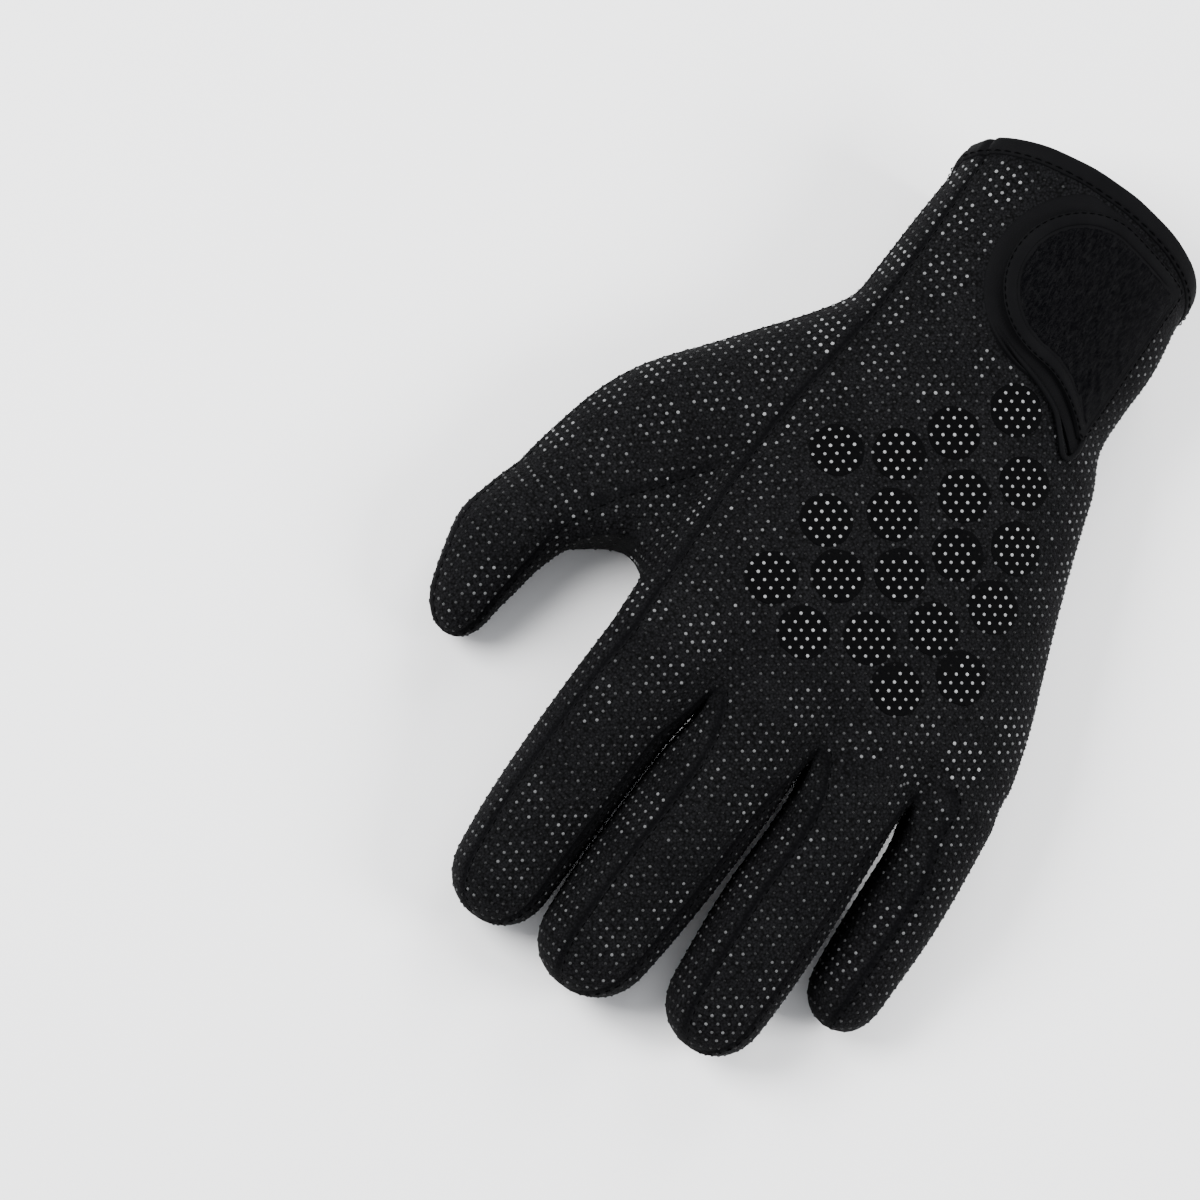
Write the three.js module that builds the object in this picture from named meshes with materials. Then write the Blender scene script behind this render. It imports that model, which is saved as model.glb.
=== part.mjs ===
// Neoprene diving glove for the left hand, lying palm down, empty but holding a hand's form.
// Millimetres. +Y runs from the cuff to the fingertips, +X is the thumb side, +Z is up.
// The skin is one grid of cells that branches like the real glove: a sleeve from the cuff to
// the thumb's fork, then the thumb beside a palm, then four fingers. It is cut along its
// sewn seams into panels, and each panel is a closed sheet of foam with its true thickness.
import * as THREE from 'three';

// Driving sizes
const WALL = 2.5; // neoprene
const SEAM_GAP = 0.3; // clear width along every sewn seam
const SPAN = 5; // cells across one finger, on the back and again on the palm side
const SIDE = 3; // cells down one finger's side
const THUMB_FORK_Y = 26;
const CUFF_Y = -113;
const CUFF_LEAN = 0.34; // the opening leans back: its top edge lies further from the fingers
const CUFF_LEAN_END_Y = -60;
const CUFF_MIDDLE_Z = 25;
const TAPE = 0.9; // binding tape
const TAPE_WIDTH = 4.5;
const COAT_GAP = 0.35; // clear height between a laid-on piece and what it lies on
const DOT_RADIUS = 7.5;
const DOT_HEIGHT = 0.5;
const DOT_SIDES = 10;
const PAD_HEIGHT = 0.8;
const TAB_HEIGHT = 1.3;
const FACE_HEIGHT = 0.5;
const RIM_HEIGHT = 1.0;
const TAB_GAP = 0.6; // clear height between the tab and its pad
const SLOPE_ALLOWANCE = 1.3; // laid-on pieces stand a little freer where the wrist falls away
const TOP_LAYER = 2.6; // how much of that allowance the tab's face and binding take

const lanes = ['thumb', 'index', 'middle', 'ring', 'little'];

// Sections across the sleeve and palm. The hand is one rounded oval and the ball of the thumb
// a second one that flows into it.
const handSections = [
  { y: -125, right: 42.2, left: -29.0, top: 50.5, under: -1.0, tilt: 0.00, power: 2.1 },
  { y: -108, right: 42.9, left: -29.8, top: 49.0, under: -2.0, tilt: 0.00, power: 2.1 },
  { y: -92, right: 44.2, left: -31.8, top: 47.0, under: -2.0, tilt: 0.00, power: 2.1 },
  { y: -78, right: 45.1, left: -31.3, top: 45.0, under: -2.0, tilt: 0.00, power: 2.2 },
  { y: -66, right: 45.9, left: -31.9, top: 44.0, under: -2.0, tilt: 0.02, power: 2.2 },
  { y: -55, right: 47.0, left: -36.7, top: 44.5, under: -2.5, tilt: 0.03, power: 2.3 },
  { y: -44, right: 48.0, left: -39.9, top: 45.0, under: -2.5, tilt: 0.04, power: 2.4 },
  { y: -30, right: 49.0, left: -44.2, top: 45.6, under: -2.0, tilt: 0.05, power: 2.4 },
  { y: -16, right: 50.0, left: -48.9, top: 46.0, under: -1.0, tilt: 0.06, power: 2.4 },
  { y: -4, right: 51.0, left: -53.2, top: 46.3, under: 1.0, tilt: 0.08, power: 2.4 },
  { y: 11, right: 51.8, left: -58.3, top: 46.5, under: 4.0, tilt: 0.09, power: 2.4 },
  { y: 26, right: 52.4, left: -62.0, top: 46.5, under: 7.0, tilt: 0.10, power: 2.4 },
  { y: 42, right: 52.6, left: -64.2, top: 46.8, under: 11.0, tilt: 0.11, power: 2.4 },
  { y: 58, right: 52.6, left: -64.8, top: 46.8, under: 16.0, tilt: 0.12, power: 2.4 },
];
const thumbSections = [
  { y: -125, right: 30.0, half: 14, top: 34 },
  { y: -108, right: 30.0, half: 14, top: 34 },
  { y: -92, right: 31.0, half: 15, top: 33 },
  { y: -78, right: 34.0, half: 16, top: 33 },
  { y: -66, right: 40.6, half: 18, top: 34 },
  { y: -55, right: 50.9, half: 21, top: 35 },
  { y: -44, right: 60.2, half: 23, top: 36 },
  { y: -30, right: 71.1, half: 24, top: 36 },
  { y: -16, right: 82.1, half: 24, top: 35 },
  { y: -4, right: 88.3, half: 23, top: 33.5 },
  { y: 11, right: 92.6, half: 23, top: 32 },
  { y: 26, right: 95.6, half: 23, top: 31 },
  { y: 42, right: 97.0, half: 23, top: 31 },
  { y: 58, right: 97.0, half: 23, top: 31 },
];
const THUMB_UNDER = -2;
const THUMB_POWER = 2.1;
const FLOW = 7; // how widely the two ovals run into each other

// Where the lane edges cross the back and the palm, from the thumb's fork to the little finger
const laneEdges = [
  { y: -125, fork: 40.6, forkUnder: 26.0, seam: 39.0, indexEdge: 20.0, middleEdge: 1.0, ringEdge: -16.0 },
  { y: -66, fork: 43.5, forkUnder: 30.0, seam: 40.3, indexEdge: 20.0, middleEdge: -1.0, ringEdge: -19.0 },
  { y: -44, fork: 48.0, forkUnder: 38.0, seam: 43.0, indexEdge: 18.5, middleEdge: -4.5, ringEdge: -24.5 },
  { y: -16, fork: 53.0, forkUnder: 48.0, seam: 46.6, indexEdge: 17.5, middleEdge: -9.0, ringEdge: -31.5 },
  { y: 26, fork: 57.0, forkUnder: 57.0, seam: 47.6, indexEdge: 18.5, middleEdge: -12.0, ringEdge: -39.0 },
  { y: 58, fork: 52.0, forkUnder: 52.0, seam: 47.6, indexEdge: 19.8, middleEdge: -12.0, ringEdge: -41.5 },
];

// How far forward the palm reaches at each lane edge, where the fingers part
const crotchY = [54, 54, 54.5, 51, 43.5, 38];

// Finger centre lines. across and height are half sizes, and the last row is the tip.
const fingerRows = {
  thumb: [
    { y: 26, x: 76.3, z: 15.0, across: 19.3, height: 15.5 },
    { y: 36, x: 84.4, z: 15.0, across: 14.6, height: 15.0 },
    { y: 46, x: 88.0, z: 14.0, across: 13.3, height: 14.0 },
    { y: 57, x: 88.2, z: 12.6, across: 11.2, height: 12.4 },
    { y: 65, x: 87.8, z: 11.2, across: 9.4, height: 10.8 },
    { y: 75, x: 86.4, z: 9.6, across: 8.0, height: 9.4 },
  ],
  index: [
    { y: 54, x: 36.6, z: 32.5, across: 15.6, height: 15.0 },
    { y: 71, x: 37.5, z: 28.5, across: 15.3, height: 14.6 },
    { y: 90, x: 38.2, z: 23.0, across: 14.9, height: 14.2 },
    { y: 110, x: 38.3, z: 17.0, across: 14.3, height: 13.6 },
    { y: 135.2, x: 37.6, z: 11.8, across: 13.0, height: 12.2 },
  ],
  middle: [
    { y: 54, x: 3.8, z: 33.0, across: 15.8, height: 15.6 },
    { y: 71, x: 4.9, z: 29.0, across: 16.4, height: 15.2 },
    { y: 90, x: 5.7, z: 23.5, across: 16.6, height: 14.8 },
    { y: 110, x: 6.7, z: 17.8, across: 16.2, height: 14.2 },
    { y: 137.4, x: 7.8, z: 12.3, across: 14.3, height: 12.8 },
  ],
  ring: [
    { y: 48, x: -26.4, z: 31.5, across: 14.2, height: 14.6 },
    { y: 71, x: -27.6, z: 26.2, across: 14.3, height: 14.2 },
    { y: 90, x: -27.8, z: 21.2, across: 15.0, height: 13.8 },
    { y: 110, x: -28.5, z: 16.0, across: 14.4, height: 13.2 },
    { y: 131.2, x: -29.0, z: 11.6, across: 12.7, height: 12.0 },
  ],
  little: [
    { y: 41, x: -52.5, z: 26.0, across: 11.5, height: 12.8 },
    { y: 55, x: -54.0, z: 22.4, across: 11.2, height: 12.2 },
    { y: 70, x: -54.9, z: 18.4, across: 11.3, height: 11.8 },
    { y: 86, x: -55.4, z: 13.8, across: 10.8, height: 11.2 },
    { y: 104.5, x: -56.0, z: 10.0, across: 9.7, height: 10.2 },
  ],
};

// Angles round a finger, in degrees from the thumb side over the back, at which the upper span
// starts, is seamed, and ends, then where the lower span ends and starts
const fingerAngles = {
  thumb: { start: 20, seam: 136, end: 160, under: 220, underEnd: 320 },
  index: { start: 15, seam: 42, end: 140, under: 220, underEnd: 320 },
  middle: { start: 42, seam: 62, end: 140, under: 220, underEnd: 320 },
  ring: { start: 42, seam: 62, end: 140, under: 220, underEnd: 320 },
  little: { start: 70, seam: 94, end: 190, under: 230, underEnd: 320 },
};

// Printed grip dots on the back of the hand
const gripDots = [
  { x: 9.3, y: 29.6 }, { x: 24.5, y: 22.2 }, { x: -19.7, y: 27.0 }, { x: -6.1, y: 20.3 },
  { x: 10.1, y: 11.3 }, { x: -32.8, y: 13.2 }, { x: -19.2, y: 7.3 }, { x: -3.7, y: 0.8 },
  { x: 20.9, y: 0.4 }, { x: -29.4, y: -8.0 }, { x: -13.6, y: -13.3 }, { x: 6.9, y: -11.7 },
  { x: 28.8, y: -18.0 }, { x: -25.8, y: -25.0 }, { x: -6.2, y: -27.6 }, { x: 14.5, y: -26.6 },
  { x: -18.0, y: -41.0 }, { x: 5.4, y: -40.4 }, { x: -5.2, y: -56.0 },
];

// Closure on the back of the wrist: a tab sewn in at the little finger's side, its round end
// lying on a smooth pad
const tab = { x: -2, y: -92.5, seamX: -23.6, tailRise: 11, faceRadius: 17.5, radius: 21, padRadius: 27 };

// Small maths
const clamp01 = (t) => Math.min(1, Math.max(0, t));
const ease = (t) => clamp01(t) ** 2 * (3 - 2 * clamp01(t));
const mix = (a, b, t) => a + (b - a) * t;
const radians = (degrees) => (degrees * Math.PI) / 180;

// Reads every column of a table at one y, on a smooth curve through its rows
function rowAt(table, y) {
  const last = table.length - 2;
  let i = table.findIndex((row) => row.y > y) - 1;
  if (i < 0) i = y < table[0].y ? 0 : last;
  const [from, to] = [table[i], table[i + 1]];
  const before = table[Math.max(0, i - 1)];
  const after = table[Math.min(last + 1, i + 2)];
  const step = to.y - from.y;
  const t = (y - from.y) / step;
  const read = {};
  for (const name of Object.keys(from)) {
    const startSlope = ((to[name] - before[name]) / (to.y - before.y)) * step;
    const endSlope = ((after[name] - from[name]) / (after.y - from.y)) * step;
    read[name] = (2 * t ** 3 - 3 * t ** 2 + 1) * from[name] + (t ** 3 - 2 * t ** 2 + t) * startSlope
      + (3 * t ** 2 - 2 * t ** 3) * to[name] + (t ** 3 - t ** 2) * endSlope;
  }
  read.y = y;
  return read;
}

// Depth of a point outside a rounded oval, negative inside
function ovalDepth(x, z, oval) {
  const middle = oval.z + oval.tilt * (x - oval.x);
  const across = Math.abs((x - oval.x) / oval.half) ** oval.power;
  const up = Math.abs((z - middle) / oval.height) ** oval.power;
  return ((across + up) ** (1 / oval.power) - 1) * Math.min(oval.half, oval.height);
}

const softMin = (a, b, width) => Math.min(a, b) - Math.max(width - Math.abs(a - b), 0) ** 2 / (4 * width);

// The surface that the underside is flattened to: the floor, or near the cuff the tape's
// thickness above it
const TAPE_REST_END = 8; // from the cuff
const TAPE_REST_FADE = 12;
const restHeight = (y) => (TAPE + SEAM_GAP) * (1 - ease((y - CUFF_Y - TAPE_REST_END) / TAPE_REST_FADE));

// The two ovals of one section
function sectionAt(y) {
  const hand = rowAt(handSections, y);
  const ball = rowAt(thumbSections, y);
  return {
    hand: {
      x: (hand.right + hand.left) / 2,
      z: (hand.top + hand.under) / 2,
      half: (hand.right - hand.left) / 2,
      height: (hand.top - hand.under) / 2,
      tilt: hand.tilt,
      power: hand.power,
    },
    thumb: {
      x: ball.right - ball.half,
      z: (ball.top + THUMB_UNDER) / 2,
      half: ball.half,
      height: (ball.top - THUMB_UNDER) / 2,
      tilt: 0,
      power: THUMB_POWER,
    },
  };
}

// The outline of one section, walked from the little finger's side, under the palm, round the
// thumb side and back over the top. Its two ends are fans of rays, and between them rays stand
// upright on a line inside the section.
const END_RAYS = 36;
const MIDDLE_RAYS = 40;
const END_INSET = 14;
const LEFT_START = 200;
const RAY_REACH = 70;
const THUMB_SIDE = 25; // the thumb side's fan moves to the thumb's height over this width

function outline(y, withThumb) {
  const { hand, thumb } = sectionAt(y);
  const rest = restHeight(y);
  const depth = (x, z) => {
    const skin = ovalDepth(x, z, hand);
    return Math.max(withThumb ? softMin(skin, ovalDepth(x, z, thumb), FLOW) : skin, rest - z);
  };
  const handRight = hand.x + hand.half;
  const thumbRight = withThumb ? thumb.x + thumb.half : handRight;
  const thumbShare = clamp01((thumbRight - handRight) / THUMB_SIDE);
  const rise = hand.tilt * (hand.half - END_INSET);
  const thumbZ = (thumb.z + thumb.height) / 2;
  const left = { x: hand.x - hand.half + END_INSET, z: hand.z - rise };
  const right = { x: Math.max(handRight, thumbRight) - END_INSET, z: mix(hand.z + rise, thumbZ, thumbShare) };
  const cast = (x, z, degrees) => {
    const dx = Math.cos(radians(degrees));
    const dz = Math.sin(radians(degrees));
    let near = 0;
    let far = RAY_REACH;
    for (let k = 0; k < 30; k += 1) {
      const half = (near + far) / 2;
      if (depth(x + dx * half, z + dz * half) < 0) near = half;
      else far = half;
    }
    return { x: x + dx * near, z: z + dz * near };
  };
  const path = [];
  const fan = (end, from, to) => {
    for (let k = 0; k < END_RAYS; k += 1) path.push(cast(end.x, end.z, mix(from, to, k / END_RAYS)));
  };
  const between = (from, to, degrees) => {
    for (let k = 0; k < MIDDLE_RAYS; k += 1) {
      const t = k / MIDDLE_RAYS;
      path.push(cast(mix(from.x, to.x, t), mix(from.z, to.z, t), degrees));
    }
  };
  fan(left, LEFT_START, 270);
  between(left, right, 270);
  fan(right, -90, 90);
  between(right, left, 90);
  fan(left, 90, LEFT_START);
  path.push(cast(left.x, left.z, LEFT_START));
  let length = 0;
  path.forEach((point, i) => {
    if (i > 0) length += Math.hypot(point.x - path[i - 1].x, point.z - path[i - 1].z);
    point.at = length;
  });
  return path;
}

// Distance along an outline at which it passes an x, searched between two distances
function passes(path, x, from, to) {
  for (let i = 1; i < path.length; i += 1) {
    const [a, b] = [path[i - 1], path[i]];
    const crosses = (a.x - x) * (b.x - x) <= 0 && a.x !== b.x;
    if (b.at > from && a.at < to && crosses) return mix(a.at, b.at, (x - a.x) / (b.x - a.x));
  }
  throw new Error(`no crossing at ${x}`);
}

function pointAt(path, at) {
  const i = Math.max(1, path.findIndex((point) => point.at >= at - 1e-9));
  const [a, b] = [path[i - 1], path[i]];
  const t = (at - a.at) / (b.at - a.at);
  return [mix(a.x, b.x, t), mix(a.z, b.z, t)];
}

// Rays of the thumb side's fan where the upper span starts and the lower span ends
const TOP_START_WITH_THUMB = 10;
const TOP_START = 20;
const LOWER_END = -45;

// One ring of the sleeve or palm: the upper points from the thumb side, then down the little
// finger's side, the lower points back, and up the thumb side
function palmRing(y, firstLane) {
  const withThumb = firstLane === 0;
  const path = outline(y, withThumb);
  const edges = rowAt(laneEdges, y);
  const total = path[path.length - 1].at;
  const rayAt = (degrees) => path[END_RAYS + MIDDLE_RAYS + Math.round(((degrees + 90) / 180) * END_RAYS)].at;
  const topStart = rayAt(withThumb ? TOP_START_WITH_THUMB : TOP_START);
  const littleUnder = path[END_RAYS / 2].at;
  const over = (name) => passes(path, edges[name], rayAt(0), total);
  const beneath = (name) => total + passes(path, edges[name], 0, rayAt(0));
  const stops = withThumb
    ? [[topStart, SPAN], [over('fork'), 1], [over('seam'), SPAN - 1]]
    : [[topStart, 1], [over('seam'), SPAN - 1]];
  for (const name of ['indexEdge', 'middleEdge', 'ringEdge']) stops.push([over(name), SPAN]);
  stops.push([total, SIDE], [total + littleUnder, SPAN]);
  for (const name of ['ringEdge', 'middleEdge', 'indexEdge']) stops.push([beneath(name), SPAN]);
  if (withThumb) stops.push([beneath('forkUnder'), SPAN]);
  stops.push([total + rayAt(LOWER_END), SIDE], [total + topStart, 0]);
  const ring = [];
  for (let s = 0; s < stops.length - 1; s += 1) {
    const [from, cells] = stops[s];
    for (let k = 0; k < cells; k += 1) {
      const at = mix(from, stops[s + 1][0], k / cells);
      ring.push(pointAt(path, at % total));
    }
  }
  return ring;
}

// The grid of the whole skin
const points = [];
const cells = [];
const fingerForks = new Set(); // points on the webs between two fingers
const addPoint = (x, y, z) => points.push(new THREE.Vector3(x, y, z)) - 1;
const addCell = (panel, ...corners) => cells.push({ panel, corners });

// Joins two rings by a band of cells, each marked with its panel
function band(near, far, panelOf) {
  near.forEach((id, i) => {
    const next = (i + 1) % near.length;
    addCell(panelOf(i), id, far[i], far[next], near[next]);
  });
}

// Splits a ring in its parts. A ring over n cells holds n + 1 upper and n + 1 lower points.
function parts(ring, count) {
  return {
    upper: ring.slice(0, count + 1),
    outer: ring.slice(count + 1, count + SIDE),
    lower: ring.slice(count + SIDE, 2 * count + SIDE + 1).reverse(),
    inner: ring.slice(2 * count + SIDE + 1),
  };
}

const ringOf = (upper, outer, lower, inner) => [...upper, ...outer, ...[...lower].reverse(), ...inner];

// Points down a web between two lanes, from the upper edge point to the lower one
function web(upperId, lowerId, forward) {
  const ids = [];
  for (let k = 1; k < SIDE; k += 1) {
    const point = points[upperId].clone().lerp(points[lowerId], k / SIDE);
    ids.push(addPoint(point.x, point.y + forward, point.z));
  }
  return ids;
}

// Knuckle grooves deepen toward the forks of the fingers
const GROOVE_DEPTH = 5;
const GROOVE_START_Y = 32;
const GROOVE_HALF = 0.17; // of one finger's width
const PALM_STEPS = 4;
const PALM_SETTLE = 14; // the palm leaves the fork's ring for its own outline over this length

function sleeve() {
  const stations = [CUFF_Y, -104, -95, -84, -73, -62, -51, -40, -29, -18, -6, 5, 16, THUMB_FORK_Y];
  const rings = stations.map((y) => palmRing(y, 0).map(([x, z]) => {
    const lean = CUFF_LEAN * (1 - ease((y - CUFF_Y) / (CUFF_LEAN_END_Y - CUFF_Y)));
    return addPoint(x, y - lean * (z - CUFF_MIDDLE_Z), z);
  }));
  const panelOf = (i) => {
    if (i <= SPAN) return 'thumb_panel';
    return i < 5 * SPAN ? 'back_panel' : 'palm_panel';
  };
  for (let r = 1; r < rings.length; r += 1) band(rings[r - 1], rings[r], panelOf);
  return { first: rings[0], second: rings[1], last: parts(rings[rings.length - 1], 5 * SPAN) };
}

function palm(first) {
  const count = 4 * SPAN;
  const shareOf = (i) => {
    if (i <= count) return i / SPAN + 1;
    if (i < count + SIDE) return 5;
    return i <= 2 * count + SIDE ? 5 - (i - count - SIDE) / SPAN : 1;
  };
  const panelOf = (i) => {
    if (i < 1) return 'thumb_panel';
    return i < count ? 'back_panel' : 'palm_panel';
  };
  let near = first;
  for (let step = 1; step <= PALM_STEPS; step += 1) {
    const far = first.map((id, i) => {
      const lane = shareOf(i);
      const low = Math.min(4, Math.floor(lane));
      const reach = mix(crotchY[low], crotchY[low + 1], lane - low);
      const y = mix(THUMB_FORK_Y, reach, step / PALM_STEPS);
      const [x, z] = palmRing(y, 1)[i];
      const fade = ease((y - GROOVE_START_Y) / (reach - GROOVE_START_Y));
      const fromEdge = Math.abs(lane - Math.round(lane));
      const isEdge = i <= count && lane > 1.5 && lane < 4.5;
      const groove = isEdge ? GROOVE_DEPTH * fade * Math.exp(-((fromEdge / GROOVE_HALF) ** 2)) : 0;
      const settle = ease((y - THUMB_FORK_Y) / PALM_SETTLE);
      const start = points[id];
      return addPoint(mix(start.x, x, settle), y, mix(start.z, z, settle) - groove);
    });
    band(near, far, panelOf);
    near = far;
  }
  return parts(near, count);
}

// Distances of a finger's rings from its root, as parts of its straight stretch, then how far
// each ring of its rounded end lies from the tip, as parts of the end's length
const shaftSteps = [0.1, 0.24, 0.42, 0.62, 0.82, 1];
const endSteps = [0.62, 0.32, 0.12, 0.03];
const END_LENGTH = 1.15; // of the tip's half height
const END_POWER = 2.3;
const SETTLE_LENGTH = 20;

function finger(name, base) {
  const rows = fingerRows[name];
  const angles = fingerAngles[name];
  const tip = rows[rows.length - 1];
  const endLength = END_LENGTH * tip.height;
  const root = rows[0].y;
  const shaft = tip.y - endLength - root;
  const stations = shaftSteps.map((t) => ({ y: root + shaft * t, scale: 1 }));
  for (const q of endSteps) {
    stations.push({ y: tip.y - endLength * q, scale: (1 - (1 - q) ** END_POWER) ** (1 / END_POWER) });
  }
  const seamCell = name === 'thumb' ? SPAN - 1 : 1;
  const stops = [
    [angles.start, seamCell], [angles.seam, SPAN - seamCell], [angles.end, SIDE], [angles.under, SPAN],
    [angles.underEnd, SIDE], [angles.start + 360, 0],
  ];
  const degreesOf = [];
  for (let s = 0; s < stops.length - 1; s += 1) {
    const [from, count] = stops[s];
    for (let k = 0; k < count; k += 1) degreesOf.push(mix(from, stops[s + 1][0], k / count));
  }
  const panelOf = (i) => {
    if (name === 'thumb') return i < SPAN - 1 ? 'thumb_panel' : 'palm_panel';
    if (name === 'index' && i < 1) return 'thumb_panel';
    return i < SPAN ? 'back_panel' : 'palm_panel';
  };
  const start = rowAt(rows, root);
  let near = base;
  for (const station of stations) {
    const row = rowAt(rows, station.y);
    const ahead = rowAt(rows, station.y + 1);
    const slope = Math.atan2(ahead.z - row.z, 1);
    const settle = ease((station.y - root) / SETTLE_LENGTH);
    const far = base.map((id, i) => {
      const turn = radians(degreesOf[i]);
      const rise = row.height * station.scale * Math.sin(turn);
      const ideal = new THREE.Vector3(
        row.x + row.across * station.scale * Math.cos(turn),
        station.y - rise * Math.sin(slope),
        row.z + rise * Math.cos(slope),
      );
      const rootPoint = points[id];
      const carried = new THREE.Vector3(
        row.x + ((rootPoint.x - start.x) * row.across) / start.across,
        rootPoint.y + station.y - root,
        row.z + ((rootPoint.z - start.z) * row.height) / start.height,
      );
      const point = carried.lerp(ideal, settle);
      return addPoint(point.x, point.y, Math.max(0, point.z));
    });
    band(near, far, panelOf);
    near = far;
  }
  closeTip(near, rowAt(rows, tip.y));
}

// Closes a fingertip with a patch that bulges to the tip
function closeTip(ring, tip) {
  const edge = parts(ring, SPAN);
  const rows = [edge.upper];
  const bulge = tip.y - Math.max(...ring.map((id) => points[id].y));
  for (let r = 1; r < SIDE; r += 1) {
    const row = [edge.inner[SIDE - 1 - r]];
    for (let c = 1; c < SPAN; c += 1) {
      const down = r / SIDE;
      const over = c / SPAN;
      const sides = points[edge.inner[SIDE - 1 - r]].clone().lerp(points[edge.outer[r - 1]], over);
      const ends = points[edge.upper[c]].clone().lerp(points[edge.lower[c]], down);
      const top = points[edge.upper[0]].clone().lerp(points[edge.upper[SPAN]], over);
      const foot = points[edge.lower[0]].clone().lerp(points[edge.lower[SPAN]], over);
      const point = sides.add(ends).sub(top.lerp(foot, down));
      const swell = Math.sin(Math.PI * down) * Math.sin(Math.PI * over);
      row.push(addPoint(point.x, point.y + bulge * swell, Math.max(0, point.z)));
    }
    row.push(edge.outer[r - 1]);
    rows.push(row);
  }
  rows.push(edge.lower);
  for (let r = 0; r < SIDE; r += 1) {
    for (let c = 0; c < SPAN; c += 1) {
      addCell('palm_panel', rows[r][c], rows[r + 1][c], rows[r + 1][c + 1], rows[r][c + 1]);
    }
  }
}

function buildSkin() {
  const { first, second, last } = sleeve();
  const forkWeb = web(last.upper[SPAN], last.lower[SPAN], 0);
  const thumbBase = ringOf(last.upper.slice(0, SPAN + 1), forkWeb, last.lower.slice(0, SPAN + 1), last.inner);
  finger('thumb', thumbBase);
  const palmBase = ringOf(last.upper.slice(SPAN), last.outer, last.lower.slice(SPAN), [...forkWeb].reverse());
  const end = palm(palmBase);
  let inner = end.inner;
  for (let lane = 1; lane < lanes.length; lane += 1) {
    const from = (lane - 1) * SPAN;
    const to = lane * SPAN;
    const isLast = lane === lanes.length - 1;
    const outer = isLast ? end.outer : web(end.upper[to], end.lower[to], 1);
    if (!isLast) [end.upper[to], ...outer, end.lower[to]].forEach((id) => fingerForks.add(id));
    finger(lanes[lane], ringOf(end.upper.slice(from, to + 1), outer, end.lower.slice(from, to + 1), inner));
    inner = [...outer].reverse();
  }
  return { first, second };
}

// Each cell as two triangles
const trianglesOf = ({ corners: [a, b, c, d] }) => [[a, b, c], [a, c, d]];

function vertexNormals() {
  const normals = points.map(() => new THREE.Vector3());
  for (const cell of cells) {
    for (const [a, b, c] of trianglesOf(cell)) {
      const face = points[b].clone().sub(points[a]).cross(points[c].clone().sub(points[a]));
      for (const id of [a, b, c]) normals[id].add(face);
    }
  }
  for (const id of fingerForks) normals[id].setX(0); // the two fingers' sides face each other there
  return normals.map((normal) => normal.normalize());
}

function solid(positions, triangles) {
  const geometry = new THREE.BufferGeometry();
  const numbers = positions.flatMap((p) => [p.x, p.y, p.z]);
  geometry.setAttribute('position', new THREE.Float32BufferAttribute(numbers, 3));
  geometry.setIndex(triangles.flat());
  geometry.computeVertexNormals();
  return geometry;
}

// One sewn panel: its outer and inner faces, and walls along its cut edges, which stand half
// of the seam's width back from the seam line
function panelGeometry(panel, normals) {
  const triangles = cells.filter((cell) => cell.panel === panel).flatMap(trianglesOf);
  const edges = new Map();
  for (const [a, b, c] of triangles) {
    for (const [from, to, across] of [[a, b, c], [b, c, a], [c, a, b]]) {
      if (edges.has(`${to},${from}`)) edges.delete(`${to},${from}`);
      else edges.set(`${from},${to}`, [from, to, across]);
    }
  }
  const border = new Set([...edges.values()].flatMap(([from, to]) => [from, to]));
  const pull = new Map();
  for (const [a, b, c] of triangles) {
    for (const [id, left, right] of [[a, b, c], [b, c, a], [c, a, b]]) {
      if (!border.has(id)) continue;
      const [one, other] = [points[left].clone().sub(points[id]), points[right].clone().sub(points[id])];
      const angle = one.angleTo(other);
      const toward = one.normalize().add(other.normalize()).normalize().multiplyScalar(angle);
      pull.set(id, (pull.get(id) ?? new THREE.Vector3()).add(toward));
    }
  }
  const renumber = new Map();
  const outer = [];
  const inner = [];
  for (const id of triangles.flat()) {
    if (renumber.has(id)) continue;
    renumber.set(id, outer.length);
    const point = points[id].clone();
    if (pull.has(id)) {
      point.addScaledVector(pull.get(id).normalize(), SEAM_GAP / 2);
    }
    outer.push(point);
    const within = point.clone().addScaledVector(normals[id], -WALL);
    inner.push(within);
  }
  const count = outer.length;
  const faces = [];
  for (const triangle of triangles) {
    const [a, b, c] = triangle.map((id) => renumber.get(id));
    faces.push([a, b, c], [count + a, count + c, count + b]);
  }
  for (const [from, to] of edges.values()) {
    const [a, b] = [renumber.get(from), renumber.get(to)];
    if (from < to) faces.push([b, a, count + a], [b, count + a, count + b]);
    else faces.push([b, a, count + b], [a, count + a, count + b]);
  }
  return solid([...outer, ...inner], faces);
}

// A closed band with one section swept round a loop of frames
function sweptBand(sections) {
  const size = sections[0].length;
  const faces = [];
  sections.forEach((_, i) => {
    const next = (i + 1) % sections.length;
    for (let k = 0; k < size; k += 1) {
      const [a, b] = [i * size + k, i * size + ((k + 1) % size)];
      const [c, d] = [next * size + k, next * size + ((k + 1) % size)];
      faces.push([a, c, d], [a, d, b]);
    }
  });
  return solid(sections.flat(), faces);
}

// Tape folded over the raw edge of the opening
function cuffBinding(first, second, normals) {
  const outside = SEAM_GAP + TAPE;
  const lining = -WALL - SEAM_GAP;
  const inside = lining - TAPE;
  const section = [
    [SEAM_GAP, TAPE_WIDTH], [outside, TAPE_WIDTH - 0.4], [outside, -TAPE], [inside, -TAPE],
    [inside, TAPE_WIDTH - 0.4], [lining, TAPE_WIDTH], [lining, -SEAM_GAP], [SEAM_GAP, -SEAM_GAP],
  ];
  return sweptBand(first.map((id, i) => {
    const up = points[second[i]].clone().sub(points[id]).normalize();
    return section.map(([out, along]) => {
      const point = points[id].clone().addScaledVector(normals[id], out).addScaledVector(up, along);
      point.z = Math.max(0, point.z);
      return point;
    });
  }));
}

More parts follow.
